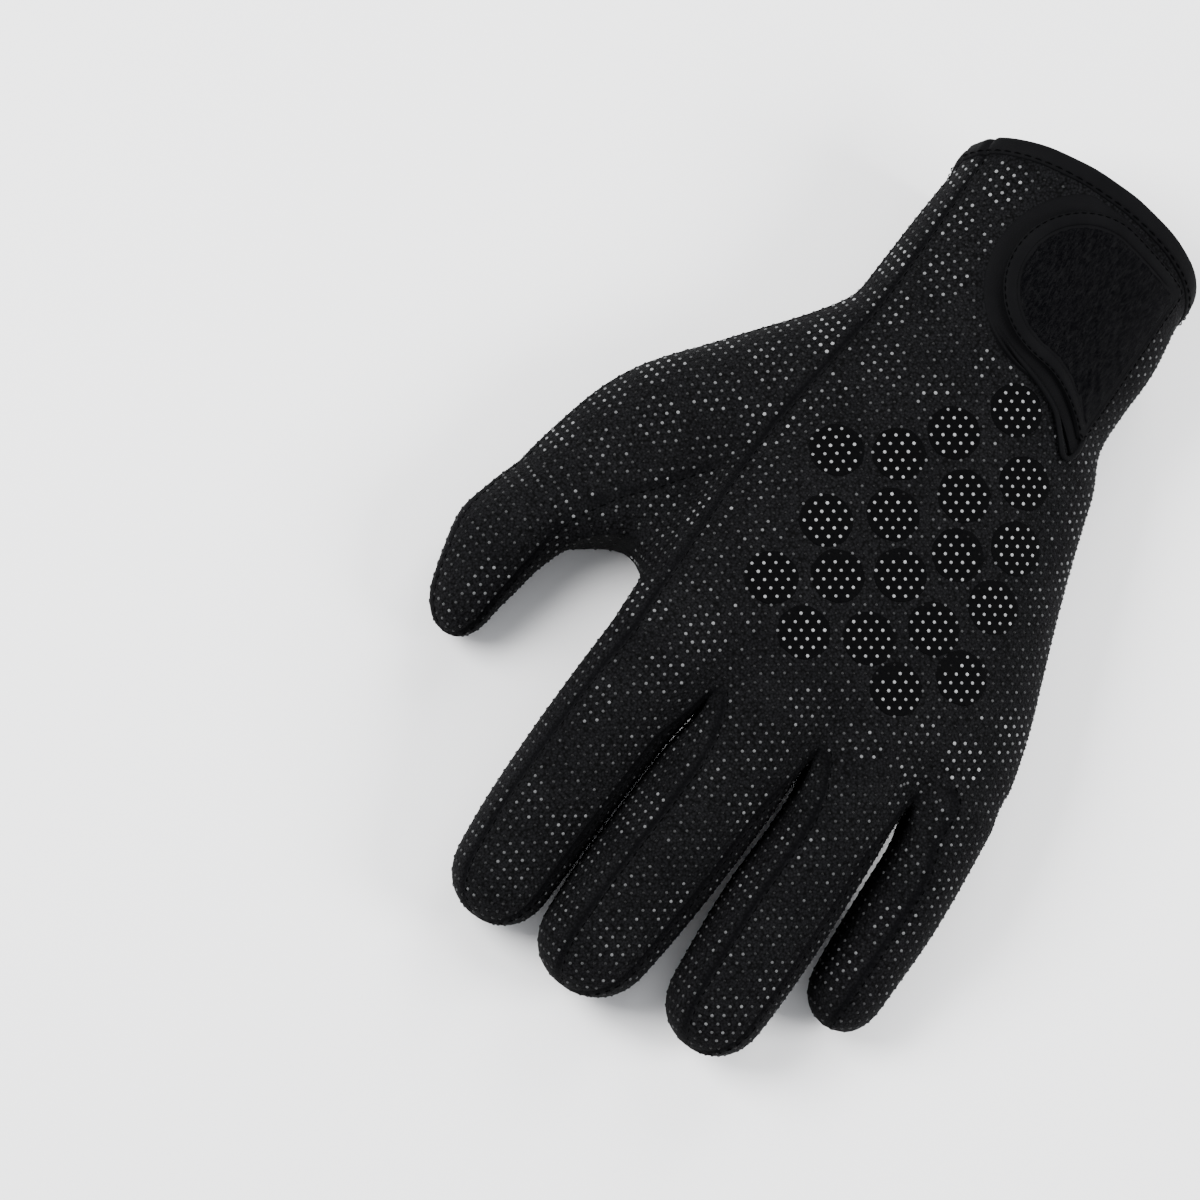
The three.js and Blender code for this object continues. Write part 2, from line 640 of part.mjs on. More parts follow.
// The point and normal of the skin straight above a place on the floor
function dorsal(x, y, normals) {
  let best = null;
  for (const cell of cells) {
    for (const [a, b, c] of trianglesOf(cell)) {
      const [p, q, r] = [points[a], points[b], points[c]];
      const area = (q.x - p.x) * (r.y - p.y) - (q.y - p.y) * (r.x - p.x);
      if (area <= 1e-6) continue;
      const s = ((x - p.x) * (r.y - p.y) - (y - p.y) * (r.x - p.x)) / area;
      const t = ((q.x - p.x) * (y - p.y) - (q.y - p.y) * (x - p.x)) / area;
      if (s < -1e-6 || t < -1e-6 || s + t > 1 + 1e-6) continue;
      const z = p.z + s * (q.z - p.z) + t * (r.z - p.z);
      if (best && best.point.z >= z) continue;
      const normal = normals[a].clone().multiplyScalar(1 - s - t)
        .addScaledVector(normals[b], s).addScaledVector(normals[c], t).normalize();
      best = { point: new THREE.Vector3(x, y, z), normal };
    }
  }
  return best;
}

// A thin piece laid on the back of the glove: rings of places around a middle, or round an
// open middle when there is none. layer counts the pieces that lie on each other.
function laidOn(rings, middle, layer, lift, height, normals) {
  const lower = [];
  const upper = [];
  for (const place of [...rings.flat(), ...(middle ? [middle] : [])]) {
    const { point, normal } = dorsal(place.x, place.y, normals);
    const clear = lift + SLOPE_ALLOWANCE * layer * (1 - normal.z);
    lower.push(point.clone().addScaledVector(normal, clear));
    upper.push(point.clone().addScaledVector(normal, clear + height));
  }
  const count = lower.length;
  const sides = rings[0].length;
  const faces = [];
  const bothFaces = (a, b, c) => faces.push([count + a, count + b, count + c], [a, c, b]);
  for (let r = 1; r < rings.length; r += 1) {
    for (let k = 0; k < sides; k += 1) {
      const next = (k + 1) % sides;
      bothFaces((r - 1) * sides + k, r * sides + next, r * sides + k);
      bothFaces((r - 1) * sides + k, (r - 1) * sides + next, r * sides + next);
    }
  }
  const wall = (ring, flip) => {
    for (let k = 0; k < sides; k += 1) {
      const [a, b] = [ring * sides + k, ring * sides + ((k + 1) % sides)];
      if (flip) faces.push([b, a, count + a], [b, count + a, count + b]);
      else faces.push([a, b, count + b], [a, count + b, count + a]);
    }
  };
  wall(0, false);
  if (middle) {
    const last = (rings.length - 1) * sides;
    for (let k = 0; k < sides; k += 1) bothFaces(last + k, last + ((k + 1) % sides), count - 1);
  } else {
    wall(rings.length - 1, true);
  }
  return solid([...lower, ...upper], faces);
}

function gripDot(place, normals) {
  const ring = [];
  for (let k = 0; k < DOT_SIDES; k += 1) {
    const turn = (2 * Math.PI * k) / DOT_SIDES;
    ring.push({ x: place.x + DOT_RADIUS * Math.cos(turn), y: place.y + DOT_RADIUS * Math.sin(turn) });
  }
  return laidOn([ring], place, 1, COAT_GAP, DOT_HEIGHT, normals);
}

// The closure stops short of the tape on the opening's edge, which curves back at the little
// finger's side
const TAPE_EDGE_Y = -115.0;
const tapeSide = { x: -25, y: -110.2, slope: 0.2 };
const lowestY = (x) => Math.max(TAPE_EDGE_Y, tapeSide.y - tapeSide.slope * (x - tapeSide.x));

// Outline of the closure's pieces: a round end toward the thumb, straight sides, and an upper
// corner drawn out along the wrist
const ARC_STEPS = 10;
const SIDE_STEPS = 5;
const TAPER = 0.86; // half width at the sewn end's lower corner, as a part of the radius

function tabOutline(radius, seamX) {
  const places = [];
  for (let k = 0; k <= ARC_STEPS; k += 1) {
    const turn = mix(-Math.PI / 2, Math.PI / 2, k / ARC_STEPS);
    places.push({ x: tab.x + radius * Math.cos(turn), y: tab.y + radius * Math.sin(turn) });
  }
  for (let k = 1; k <= SIDE_STEPS; k += 1) {
    const t = k / SIDE_STEPS;
    places.push({ x: mix(tab.x, seamX, t), y: tab.y + radius + tab.tailRise * t * t });
  }
  const [high, low] = [tab.y + radius + tab.tailRise, tab.y - radius * TAPER];
  for (let k = 1; k < SIDE_STEPS; k += 1) places.push({ x: seamX, y: mix(high, low, k / SIDE_STEPS) });
  for (let k = 0; k < SIDE_STEPS; k += 1) {
    const t = k / SIDE_STEPS;
    places.push({ x: mix(seamX, tab.x, t), y: tab.y - radius * mix(TAPER, 1, t) });
  }
  return places.map(({ x, y }) => ({ x, y: Math.max(y, lowestY(x)) }));
}

const tabMiddle = { x: -6, y: -92 };

function shrink(places, share) {
  return places.map(({ x, y }) => ({ x: mix(tabMiddle.x, x, share), y: mix(tabMiddle.y, y, share) }));
}

const INNER_RINGS = [0.75, 0.4]; // of the outline's size

function closure(normals) {
  const pad = tabOutline(tab.padRadius, tab.seamX - 1.2);
  const body = tabOutline(tab.radius, tab.seamX);
  const face = tabOutline(tab.faceRadius - 0.6, tab.seamX + 3.5);
  const rimInner = tabOutline(tab.faceRadius + 0.5, tab.seamX + 2.5);
  const onPad = COAT_GAP + PAD_HEIGHT + TAB_GAP;
  const onTab = onPad + TAB_HEIGHT + SEAM_GAP;
  const filled = (places) => [places, ...INNER_RINGS.map((share) => shrink(places, share))];
  return {
    loop_pad: laidOn(filled(pad), tabMiddle, 1, COAT_GAP, PAD_HEIGHT, normals),
    closure_tab: laidOn(filled(body), tabMiddle, 2, onPad, TAB_HEIGHT, normals),
    tab_face: laidOn(filled(face), tabMiddle, TOP_LAYER, onTab, FACE_HEIGHT, normals),
    tab_binding: laidOn([body, rimInner], null, TOP_LAYER, onTab, RIM_HEIGHT, normals),
  };
}

const materials = {
  neoprene: () => new THREE.MeshStandardMaterial({ color: 0x202122, roughness: 0.85, metalness: 0 }),
  tape: () => new THREE.MeshStandardMaterial({ color: 0x1a1b1c, roughness: 0.7, metalness: 0 }),
  print: () => new THREE.MeshStandardMaterial({ color: 0x050506, roughness: 0.6, metalness: 0 }),
  leather: () => new THREE.MeshStandardMaterial({ color: 0x141415, roughness: 0.45, metalness: 0 }),
};

function addMesh(group, name, geometry, material) {
  const mesh = new THREE.Mesh(geometry, material);
  mesh.name = name;
  group.add(mesh);
}

function buildGlove() {
  const group = new THREE.Group();
  const { first, second } = buildSkin();
  const normals = vertexNormals();
  for (const panel of ['back_panel', 'thumb_panel', 'palm_panel']) {
    addMesh(group, panel, panelGeometry(panel, normals), materials.neoprene());
  }
  addMesh(group, 'cuff_binding', cuffBinding(first, second, normals), materials.tape());
  for (const [name, geometry] of Object.entries(closure(normals))) {
    addMesh(group, name, geometry, name === 'tab_face' ? materials.leather() : materials.tape());
  }
  gripDots.forEach((place, i) => {
    const name = `grip_dot_${String(i + 1).padStart(2, '0')}`;
    addMesh(group, name, gripDot(place, normals), materials.print());
  });
  return centred(group);
}

// Moves the origin to the middle of the bottom of the glove's box
function centred(group) {
  const box = new THREE.Box3().setFromObject(group);
  const middle = box.getCenter(new THREE.Vector3());
  for (const mesh of group.children) mesh.position.set(-middle.x, -middle.y, -box.min.z);
  return group;
}

export default buildGlove();
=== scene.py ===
"""Dresses a left-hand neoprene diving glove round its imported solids.

The glove lies palm down. Its skin is one branching grid of points, worked out from the same
sizes as the solids but much finer, then cut along the sewn seams into panels. Thousands of
small grip nubs, the printed dots, the tape, the closure and the stitching lie on that skin.
Sizes are in millimetres in the form's own frame, and turned to metres where a mesh is made.
"""
from __future__ import annotations

import logging
import math
from dataclasses import dataclass, field
from enum import Enum
from functools import cached_property

import bpy
import numpy as np
from mathutils import Matrix, Vector

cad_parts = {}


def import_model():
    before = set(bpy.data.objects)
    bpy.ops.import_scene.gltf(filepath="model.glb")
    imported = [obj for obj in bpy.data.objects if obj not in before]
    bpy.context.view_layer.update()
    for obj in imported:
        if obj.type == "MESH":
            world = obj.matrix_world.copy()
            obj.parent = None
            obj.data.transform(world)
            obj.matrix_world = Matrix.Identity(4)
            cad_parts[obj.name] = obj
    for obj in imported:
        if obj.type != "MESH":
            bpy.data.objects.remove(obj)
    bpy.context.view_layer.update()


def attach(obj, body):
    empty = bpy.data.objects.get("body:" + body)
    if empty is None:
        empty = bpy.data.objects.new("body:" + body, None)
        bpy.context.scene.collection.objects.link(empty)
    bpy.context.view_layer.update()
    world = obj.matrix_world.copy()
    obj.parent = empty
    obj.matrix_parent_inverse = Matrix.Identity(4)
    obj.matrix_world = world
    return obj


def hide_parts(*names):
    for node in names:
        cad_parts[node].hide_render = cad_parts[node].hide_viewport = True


LOG = logging.getLogger("glove")
Array = np.ndarray
Pair = tuple[float, float]
Socket = bpy.types.NodeSocket
MM = 0.001
BODY = "root"
SEED = 7


class Panel(Enum):
    """The cut pieces of the skin, named as the solids they stand for."""

    BACK = "back_panel"
    THUMB = "thumb_panel"
    PALM = "palm_panel"


PANELS = (Panel.BACK, Panel.THUMB, Panel.PALM)

# Places round each tube where the thumb panel ends and where the back panel ends
PANEL_ENDS = {
    "sleeve": (1.199, 4.999), "palm": (0.199, 3.999), "thumb": (0.799, 0.799), "index": (0.199, 0.999),
    "middle": (0.0, 0.999), "ring": (0.0, 0.999), "little": (0.0, 0.999),
}


def panel_numbers(tube: str, around: Array) -> Array:
    """Which panel lies at each place round a tube, as its number in PANELS.

    Args:
        tube: The tube's name.
        around: The places.

    Returns:
        The numbers.
    """
    thumb_end, back_end = PANEL_ENDS[tube]
    return np.where(around < thumb_end, 1, np.where(around < back_end, 0, 2))


def ease(t: Array) -> Array:
    """Smooth step: 3 t^2 - 2 t^3, held at 0 and 1 outside."""
    t = np.clip(t, 0.0, 1.0)
    return t * t * (3.0 - 2.0 * t)


def bell(distance: Array, width: float) -> Array:
    """A bump of height 1: exp(-(distance / width)^2)."""
    return np.exp(-((distance / width) ** 2))


def unit(vectors: Array) -> Array:
    """Vectors scaled to length 1."""
    return vectors / np.maximum(np.linalg.norm(vectors, axis=-1, keepdims=True), 1e-12)


@dataclass(frozen=True)
class Table:
    """Rows of named sizes, the first of them y, read on a smooth curve through the rows."""

    columns: tuple[str, ...]
    rows: tuple[tuple[float, ...], ...]

    def read(self, y: Array) -> dict[str, Array]:
        """Reads every column on a cubic through the rows, with mean slopes at each row.

        Args:
            y: Places along the glove.

        Returns:
            One array for each column, of the shape of y.
        """
        y = np.asarray(y, float)
        data = np.array(self.rows, float)
        knots = data[:, 0]
        i = np.clip(np.searchsorted(knots, y, side="right") - 1, 0, len(knots) - 2)
        before, start = data[np.maximum(i - 1, 0)], data[i]
        end, after = data[i + 1], data[np.minimum(i + 2, len(knots) - 1)]
        step = (end[..., :1] - start[..., :1])
        t = (y[..., None] - start[..., :1]) / step
        slope_start = (end - before) / (end[..., :1] - before[..., :1]) * step
        slope_end = (after - start) / (after[..., :1] - start[..., :1]) * step
        value = ((2 * t**3 - 3 * t**2 + 1) * start + (t**3 - 2 * t**2 + t) * slope_start
                 + (3 * t**2 - 2 * t**3) * end + (t**3 - t**2) * slope_end)
        return {name: value[..., k] for k, name in enumerate(self.columns)}


# The opening leans back: its top edge lies further from the fingers
CUFF_Y = -113.0
CUFF_LEAN = 0.34
CUFF_MIDDLE_Z = 25.0

# Sections across the sleeve and palm: the hand's rounded oval, and the ball of the thumb
PALM_SECTIONS = Table(
    ("y", "right", "left", "top", "under", "tilt", "power", "thumb_right", "thumb_half", "thumb_top"),
    (
        (-125, 42.2, -29.0, 50.5, -1.0, 0.00, 2.1, 30.0, 14, 34),
        (-108, 42.9, -29.8, 49.0, -2.0, 0.00, 2.1, 30.0, 14, 34),
        (-92, 44.2, -31.8, 47.0, -2.0, 0.00, 2.1, 31.0, 15, 33),
        (-78, 45.1, -31.3, 45.0, -2.0, 0.00, 2.2, 34.0, 16, 33),
        (-66, 45.9, -31.9, 44.0, -2.0, 0.02, 2.2, 40.6, 18, 34),
        (-55, 47.0, -36.7, 44.5, -2.5, 0.03, 2.3, 50.9, 21, 35),
        (-44, 48.0, -39.9, 45.0, -2.5, 0.04, 2.4, 60.2, 23, 36),
        (-30, 49.0, -44.2, 45.6, -2.0, 0.05, 2.4, 71.1, 24, 36),
        (-16, 50.0, -48.9, 46.0, -1.0, 0.06, 2.4, 82.1, 24, 35),
        (-4, 51.0, -53.2, 46.3, 1.0, 0.08, 2.4, 88.3, 23, 33.5),
        (11, 51.8, -58.3, 46.5, 4.0, 0.09, 2.4, 92.6, 23, 32),
        (26, 52.4, -62.0, 46.5, 7.0, 0.10, 2.4, 95.6, 23, 31),
        (42, 52.6, -64.2, 46.8, 11.0, 0.11, 2.4, 97.0, 23, 31),
        (58, 52.6, -64.8, 46.8, 16.0, 0.12, 2.4, 97.0, 23, 31),
    ),
)
THUMB_UNDER = -2.0
THUMB_POWER = 2.1
FLOW = 7.0  # how widely the two ovals run into each other

# Where the lane edges cross the back, from the thumb's fork to the little finger
LANE_EDGES = Table(
    ("y", "fork", "fork_under", "seam", "index_edge", "middle_edge", "ring_edge"),
    (
        (-125, 40.6, 26.0, 39.0, 20.0, 1.0, -16.0),
        (-66, 43.5, 30.0, 40.3, 20.0, -1.0, -19.0),
        (-44, 48.0, 38.0, 43.0, 18.5, -4.5, -24.5),
        (-16, 53.0, 48.0, 46.6, 17.5, -9.0, -31.5),
        (26, 57.0, 57.0, 47.6, 18.5, -12.0, -39.0),
        (58, 52.0, 52.0, 47.6, 19.8, -12.0, -41.5),
    ),
)
CROTCH_Y = (54.0, 54.5, 51.0, 43.5, 38.0)  # reach of the palm at the edges of the four fingers

FINGER_COLUMNS = ("y", "x", "z", "across", "height")
FINGERS = {
    "thumb": Table(FINGER_COLUMNS, (
        (26, 76.3, 15.0, 19.3, 15.5), (36, 84.4, 15.0, 14.6, 15.0), (46, 88.0, 14.0, 13.3, 14.0),
        (57, 88.2, 12.6, 11.2, 12.4), (65, 87.8, 11.2, 9.4, 10.8), (75, 86.4, 9.6, 8.0, 9.4))),
    "index": Table(FINGER_COLUMNS, (
        (54, 36.6, 32.5, 15.7, 15.0), (71, 37.5, 28.5, 15.6, 14.6), (90, 38.2, 23.0, 15.2, 14.2),
        (110, 38.3, 17.0, 14.6, 13.6), (135.2, 37.6, 11.8, 13.0, 12.2))),
    "middle": Table(FINGER_COLUMNS, (
        (54, 3.8, 33.0, 15.9, 15.6), (71, 4.9, 29.0, 16.7, 15.2), (90, 5.7, 23.5, 16.9, 14.8),
        (110, 6.7, 17.8, 16.5, 14.2), (137.4, 7.8, 12.3, 14.3, 12.8))),
    "ring": Table(FINGER_COLUMNS, (
        (48, -26.4, 31.5, 14.2, 14.6), (71, -27.6, 26.2, 14.3, 14.2), (90, -27.8, 21.2, 15.0, 13.8),
        (110, -28.5, 16.0, 14.4, 13.2), (131.2, -29.0, 11.6, 12.7, 12.0))),
    "little": Table(FINGER_COLUMNS, (
        (41, -52.5, 26.0, 11.5, 12.8), (55, -54.0, 22.4, 11.2, 12.2), (70, -54.9, 18.4, 11.3, 11.8),
        (86, -55.4, 13.8, 10.8, 11.2), (104.5, -56.0, 10.0, 9.7, 10.2))),
}
FINGER_NAMES = tuple(FINGERS)

# Degrees round a finger where its upper span starts, has its inner cut and ends, and where the
# lower span starts and ends
FINGER_ANGLES = {
    "thumb": (20, 136, 160, 220, 320),
    "index": (15, 42, 140, 220, 320),
    "middle": (42, 62, 140, 220, 320),
    "ring": (42, 62, 140, 220, 320),
    "little": (70, 94, 190, 230, 320),
}

# Middles of the printed dots on the back of the hand
GRIP_DOTS = (
    (9.3, 29.6), (24.5, 22.2), (-19.7, 27.0), (-6.1, 20.3), (10.1, 11.3), (-32.8, 13.2), (-19.2, 7.3),
    (-3.7, 0.8), (20.9, 0.4), (-29.4, -8.0), (-13.6, -13.3), (6.9, -11.7), (28.8, -18.0), (-25.8, -25.0),
    (-6.2, -27.6), (14.5, -26.6), (-18.0, -41.0), (5.4, -40.4), (-5.2, -56.0),
)


def refined(knots: tuple[float, ...], cells: tuple[int, ...], margin: float) -> Array:
    """Fractions from 0 to 1 with extra ones close to each knot, where a seam may run.

    Each stretch between knots a and b holds a, a + margin/2, a + 1.6 margin, even steps, and
    the same again before b.

    Args:
        knots: Fractions from 0 to 1 where the grid is refined.
        cells: Cells in each stretch.
        margin: Size of the refined border, as a fraction.

    Returns:
        The fractions, without the closing 1.
    """
    out = []
    for (a, b), count in zip(zip(knots, knots[1:]), cells):
        close = np.array([0.0, 0.5 * margin, 1.6 * margin])
        middle = np.linspace(a + 3.4 * margin, b - 3.4 * margin, count - 5)
        out.append(np.concatenate([a + close, middle, (b - close[:0:-1])]))
    return np.concatenate(out)


@dataclass
class Tube:
    """One branch of the skin: a grid of point numbers, rings along it and columns round it."""

    name: str
    grid: Array
    around: Array
    lanes: int


@dataclass
class HandForm:
    """The skin of the hand, from the table of sections, as one branching grid."""

    wall: float = 2.5
    ring_step: float = 1.7
    fork_y: float = 26.0
    lean_end_y: float = -60.0
    rest_rise: float = 1.2
    end_inset: float = 14.0
    end_rays: int = 90
    middle_rays: int = 150
    groove_depth: float = 5.0
    groove_start_y: float = 32.0
    settle_length: float = 20.0
    end_power: float = 2.3
    upper_cells: int = 22
    lower_cells: int = 14
    side_cells: int = 12
    points: list[Array] = field(default_factory=list)
    count: int = 0
    quads: list[Array] = field(default_factory=list)
    quad_panels: list[Array] = field(default_factory=list)
    tubes: dict[str, Tube] = field(default_factory=dict)
    forks: list[Array] = field(default_factory=list)

    def __post_init__(self) -> None:
        """Works out how the columns of one lane and of one side are spread."""
        small, large = 8, self.upper_cells - 8
        near_fork = refined((0.0, 0.2, 1.0), (small, large), 0.018)
        self.lane_steps = {name: near_fork for name in FINGER_NAMES}
        self.lane_steps["thumb"] = refined((0.0, 0.8, 1.0), (large, small), 0.018)
        self.lower_steps = np.arange(self.lower_cells) / self.lower_cells
        near = np.array([0.0, 0.012, 0.045, 0.1])
        self.down_steps = np.concatenate([near, np.linspace(0.19, 1.0, self.side_cells - 3)])[:-1]
        self.up_steps = 1.0 - np.concatenate([self.down_steps[1:], [1.0]])[::-1]

    def columns(self, names: tuple[str, ...]) -> Array:
        """Places round a ring over the named lanes.

        Upper lanes take 0 to n, then the outer side one unit, the lower lanes n and the inner
        side one.

        Args:
            names: The lanes, from the thumb side.

        Returns:
            One place for each column.
        """
        n = len(names)
        upper = [k + self.lane_steps[name] for k, name in enumerate(names)]
        lower = [n + 1 + k + self.lower_steps for k in range(n)]
        return np.concatenate([*upper, n + self.down_steps, *lower, 2 * n + 1 + self.up_steps])

    def add(self, points: Array) -> Array:
        """Adds points of any grid shape and returns their numbers in that shape."""
        flat = points.reshape(-1, 3)
        ids = np.arange(self.count, self.count + len(flat)).reshape(points.shape[:-1])
        self.points.append(flat)
        self.count += len(flat)
        return ids

    def at(self, ids: Array) -> Array:
        """Places of points by their numbers."""
        return np.concatenate(self.points)[ids]

    def depth(self, x: Array, z: Array, row: dict[str, Array], with_thumb: bool) -> Array:
        """How far a point of a section lies outside it, negative inside.

        An oval's depth is ((|x/a|^n + |z/b|^n)^(1/n) - 1) times its smaller half size, and the
        two ovals meet in a soft least of both: min - (w - |difference|)^2 / 4w.

        Args:
            x: Places across.
            z: Heights.
            row: Section sizes at each place.
            with_thumb: Whether the ball of the thumb belongs to the section.

        Returns:
            The depths.
        """
        half, centre = (row["right"] - row["left"]) / 2, (row["right"] + row["left"]) / 2
        height = (row["top"] - row["under"]) / 2
        middle = (row["top"] + row["under"]) / 2 + row["tilt"] * (x - centre)
        reach = (np.abs((x - centre) / half) ** row["power"]
                 + np.abs((z - middle) / height) ** row["power"]) ** (1 / row["power"])
        skin = (reach - 1) * np.minimum(half, height)
        if with_thumb:
            ball = row["thumb_half"]
            rise = (row["thumb_top"] - THUMB_UNDER) / 2
            across = np.abs((x - row["thumb_right"] + ball) / ball) ** THUMB_POWER
            up = np.abs((z - (row["thumb_top"] + THUMB_UNDER) / 2) / rise) ** THUMB_POWER
            thumb = ((across + up) ** (1 / THUMB_POWER) - 1) * np.minimum(ball, rise)
            soft = np.maximum(FLOW - np.abs(skin - thumb), 0) ** 2 / (4 * FLOW)
            skin = np.minimum(skin, thumb) - soft
        return np.maximum(skin, row["rest"] - z)

    def outline(self, y: Array, with_thumb: bool) -> tuple[Array, Array]:
        """Outlines of sections, each a walk of points found along rays from inside by halving.

        Args:
            y: The sections' places.
            with_thumb: Whether the ball of the thumb belongs to them.

        Returns:
            The points (x, z) and the distances walked, from the little finger's side under the
            palm, round the thumb side and back over the top.
        """
        row = PALM_SECTIONS.read(y)
        row["rest"] = self.rest_rise * (1 - ease((y - CUFF_Y - 8) / 12))
        row = {name: value[:, None] for name, value in row.items()}
        half = (row["right"] - row["left"]) / 2
        middle = (row["top"] + row["under"]) / 2
        right = np.maximum(row["right"], row["thumb_right"]) if with_thumb else row["right"]
        share = np.clip((row["thumb_right"] - row["right"]) / 25, 0, 1) * float(with_thumb)
        tilted = row["tilt"] * (half - self.end_inset)
        left_x, left_z = row["left"] + self.end_inset, middle - tilted
        right_x = right - self.end_inset
        right_z = (1 - share) * (middle + tilted) + share * row["thumb_top"] / 2
        fan = np.arange(self.end_rays) / self.end_rays
        line = np.arange(self.middle_rays) / self.middle_rays
        along = np.concatenate([0 * fan, line, 1 + 0 * fan, 1 - line, 0 * fan, [0]])
        degrees = np.concatenate([200 + 70 * fan, 270 + 0 * line, -90 + 180 * fan, 90 + 0 * line,
                                  90 + 110 * fan, [200]])
        x0 = left_x + (right_x - left_x) * along
        z0 = left_z + (right_z - left_z) * along
        dx, dz = np.cos(np.radians(degrees)), np.sin(np.radians(degrees))
        near, far = np.zeros_like(x0), np.full_like(x0, 70.0)
        for _ in range(26):
            half_way = (near + far) / 2
            inside = self.depth(x0 + dx * half_way, z0 + dz * half_way, row, with_thumb) < 0
            near, far = np.where(inside, half_way, near), np.where(inside, far, half_way)
        path = np.stack([x0 + dx * near, z0 + dz * near], -1)
        steps = np.linalg.norm(np.diff(path, axis=1), axis=-1)
        return path, np.concatenate([np.zeros((len(y), 1)), np.cumsum(steps, 1)], 1)

    def palm_rings(self, y: Array, names: tuple[str, ...]) -> Array:
        """Rings of the sleeve or the palm, spread between the lane edges.

        Args:
            y: The rings' places.
            names: Their lanes.

        Returns:
            Points (x, z) of each ring's columns.
        """
        with_thumb = names[0] == "thumb"
        path, walked = self.outline(y, with_thumb)
        edges = LANE_EDGES.read(y)
        first = self.end_rays + self.middle_rays

        def ray(degrees: float) -> int:
            return first + round((degrees + 90) / 180 * self.end_rays)

        def crossing(value: Array, start: int, end: int) -> Array:
            x = path[:, start:end, 0] - value[:, None]
            k = np.argmax(x[:, :-1] * x[:, 1:] <= 0, axis=1)
            rows = np.arange(len(y))
            a, b = x[rows, k], x[rows, k + 1]
            t = np.where(a == b, 0.0, a / np.where(a == b, 1.0, a - b))
            here, there = walked[rows, start + k], walked[rows, start + k + 1]
            return here + (there - here) * t

        total = walked[:, -1]
        end = path.shape[1]
        over = {name: crossing(edges[name], ray(0), end) for name in edges if name not in ("y", "fork_under")}
        under = {name: crossing(edges[name], 0, ray(0)) for name in edges if name not in ("y", "seam")}
        top_start = walked[:, ray(10 if with_thumb else 20)]
        start = [(0, top_start), (1, over["fork"]), (1.2, over["seam"])] if with_thumb else [
            (0, top_start), (0.2, over["seam"])]
        n = len(names)
        base = n - 3
        stops = start + [
            (base, over["index_edge"]), (base + 1, over["middle_edge"]), (base + 2, over["ring_edge"]),
            (n, total), (n + 1, total + walked[:, round(self.end_rays / 2)]),
            (n + 2, total + under["ring_edge"]), (n + 3, total + under["middle_edge"]),
            (n + 4, total + under["index_edge"])]
        if with_thumb:
            stops.append((n + 5, total + under["fork_under"]))
        stops += [(2 * n + 1, total + walked[:, ray(-45)]), (2 * n + 2, total + top_start)]
        places = self.columns(names)
        rings = np.empty((len(y), len(places), 2))
        for k in range(len(y)):
            at = np.interp(places, [q for q, _ in stops], [arc[k] for _, arc in stops]) % total[k]
            rings[k, :, 0] = np.interp(at, walked[k], path[k, :, 0])
            rings[k, :, 1] = np.interp(at, walked[k], path[k, :, 1])
        return rings

    def band(self, tube: Tube, panels: Array) -> None:
        """Adds the cells of a tube's grid. Each column's cells belong to that column's panel."""
        near, far = tube.grid[:-1], tube.grid[1:]
        quads = np.stack([near, far, np.roll(far, -1, 1), np.roll(near, -1, 1)], -1)
        self.quads.append(quads.reshape(-1, 4))
        self.quad_panels.append(np.broadcast_to(panels, near.shape).reshape(-1))
        self.tubes[tube.name] = tube

    def split(self, ring: Array, lanes: int) -> dict[str, Array]:
        """Splits a ring's point numbers into upper and lower spans, ends included, and sides."""
        upper = lanes * self.upper_cells
        side = self.side_cells
        lower = upper + side
        bottom = lower + lanes * self.lower_cells
        return {
            "upper": ring[:upper + 1], "outer": ring[upper + 1:lower],
            "lower": ring[lower:bottom + 1], "inner": ring[bottom + 1:],
        }

    def sleeve(self) -> Array:
        """The stretch from the cuff to the thumb's fork.

        Each ring leans back by lean * (z - middle height), fading toward the hand.

        Returns:
            Point numbers of its last ring.
        """
        y = np.linspace(CUFF_Y, self.fork_y, round((self.fork_y - CUFF_Y) / self.ring_step) + 1)
        rings = self.palm_rings(y, FINGER_NAMES)
        lean = CUFF_LEAN * (1 - ease((y - CUFF_Y) / (self.lean_end_y - CUFF_Y)))
        place_y = y[:, None] - lean[:, None] * (rings[..., 1] - CUFF_MIDDLE_Z)
        ids = self.add(np.stack([rings[..., 0], place_y, rings[..., 1]], -1))
        around = self.columns(FINGER_NAMES)
        self.band(Tube("sleeve", ids, around, 5), panel_numbers("sleeve", around))
        return ids[-1]

    def palm(self, first: Array) -> Array:
        """The stretch from the thumb's fork to the fingers' forks.

        Every column runs on to its own reach, so that each fork lies where it should.

        Args:
            first: Point numbers of the ring it starts from.

        Returns:
            Point numbers of its last ring.
        """
        names = FINGER_NAMES[1:]
        around = self.columns(names)
        lane = np.interp(around, [0, 4, 5, 9, 10], [0, 4, 4, 0, 0])
        reach = np.interp(lane, range(5), CROTCH_Y)
        steps = np.linspace(0, 1, round(28 / self.ring_step) + 1)[1:]
        y = self.fork_y + (reach - self.fork_y)[None] * steps[:, None]
        sampled = np.linspace(self.fork_y, max(CROTCH_Y), 24)
        rings = self.palm_rings(sampled, names)
        place = (y - sampled[0]) / (sampled[1] - sampled[0])
        low = np.clip(place.astype(int), 0, len(sampled) - 2)
        t = (place - low)[..., None]
        columns = np.arange(len(around))[None]
        own = rings[low, columns] * (1 - t) + rings[low + 1, columns] * t
        start = self.at(first)
        settle = ease((y - self.fork_y) / 14)
        fade = ease((y - self.groove_start_y) / (reach - self.groove_start_y))
        off = np.abs(around - np.round(around))
        grooved = (around > 0.5) & (around < 3.5)
        groove = self.groove_depth * fade * bell(off, 0.17) * grooved
        x = start[:, 0] * (1 - settle) + own[..., 0] * settle
        z = start[:, 2] * (1 - settle) + own[..., 1] * settle - groove
        ids = self.add(np.stack([x, y, z], -1))
        grid = np.concatenate([first[None], ids])
        self.band(Tube("palm", grid, around, 4), panel_numbers("palm", around))
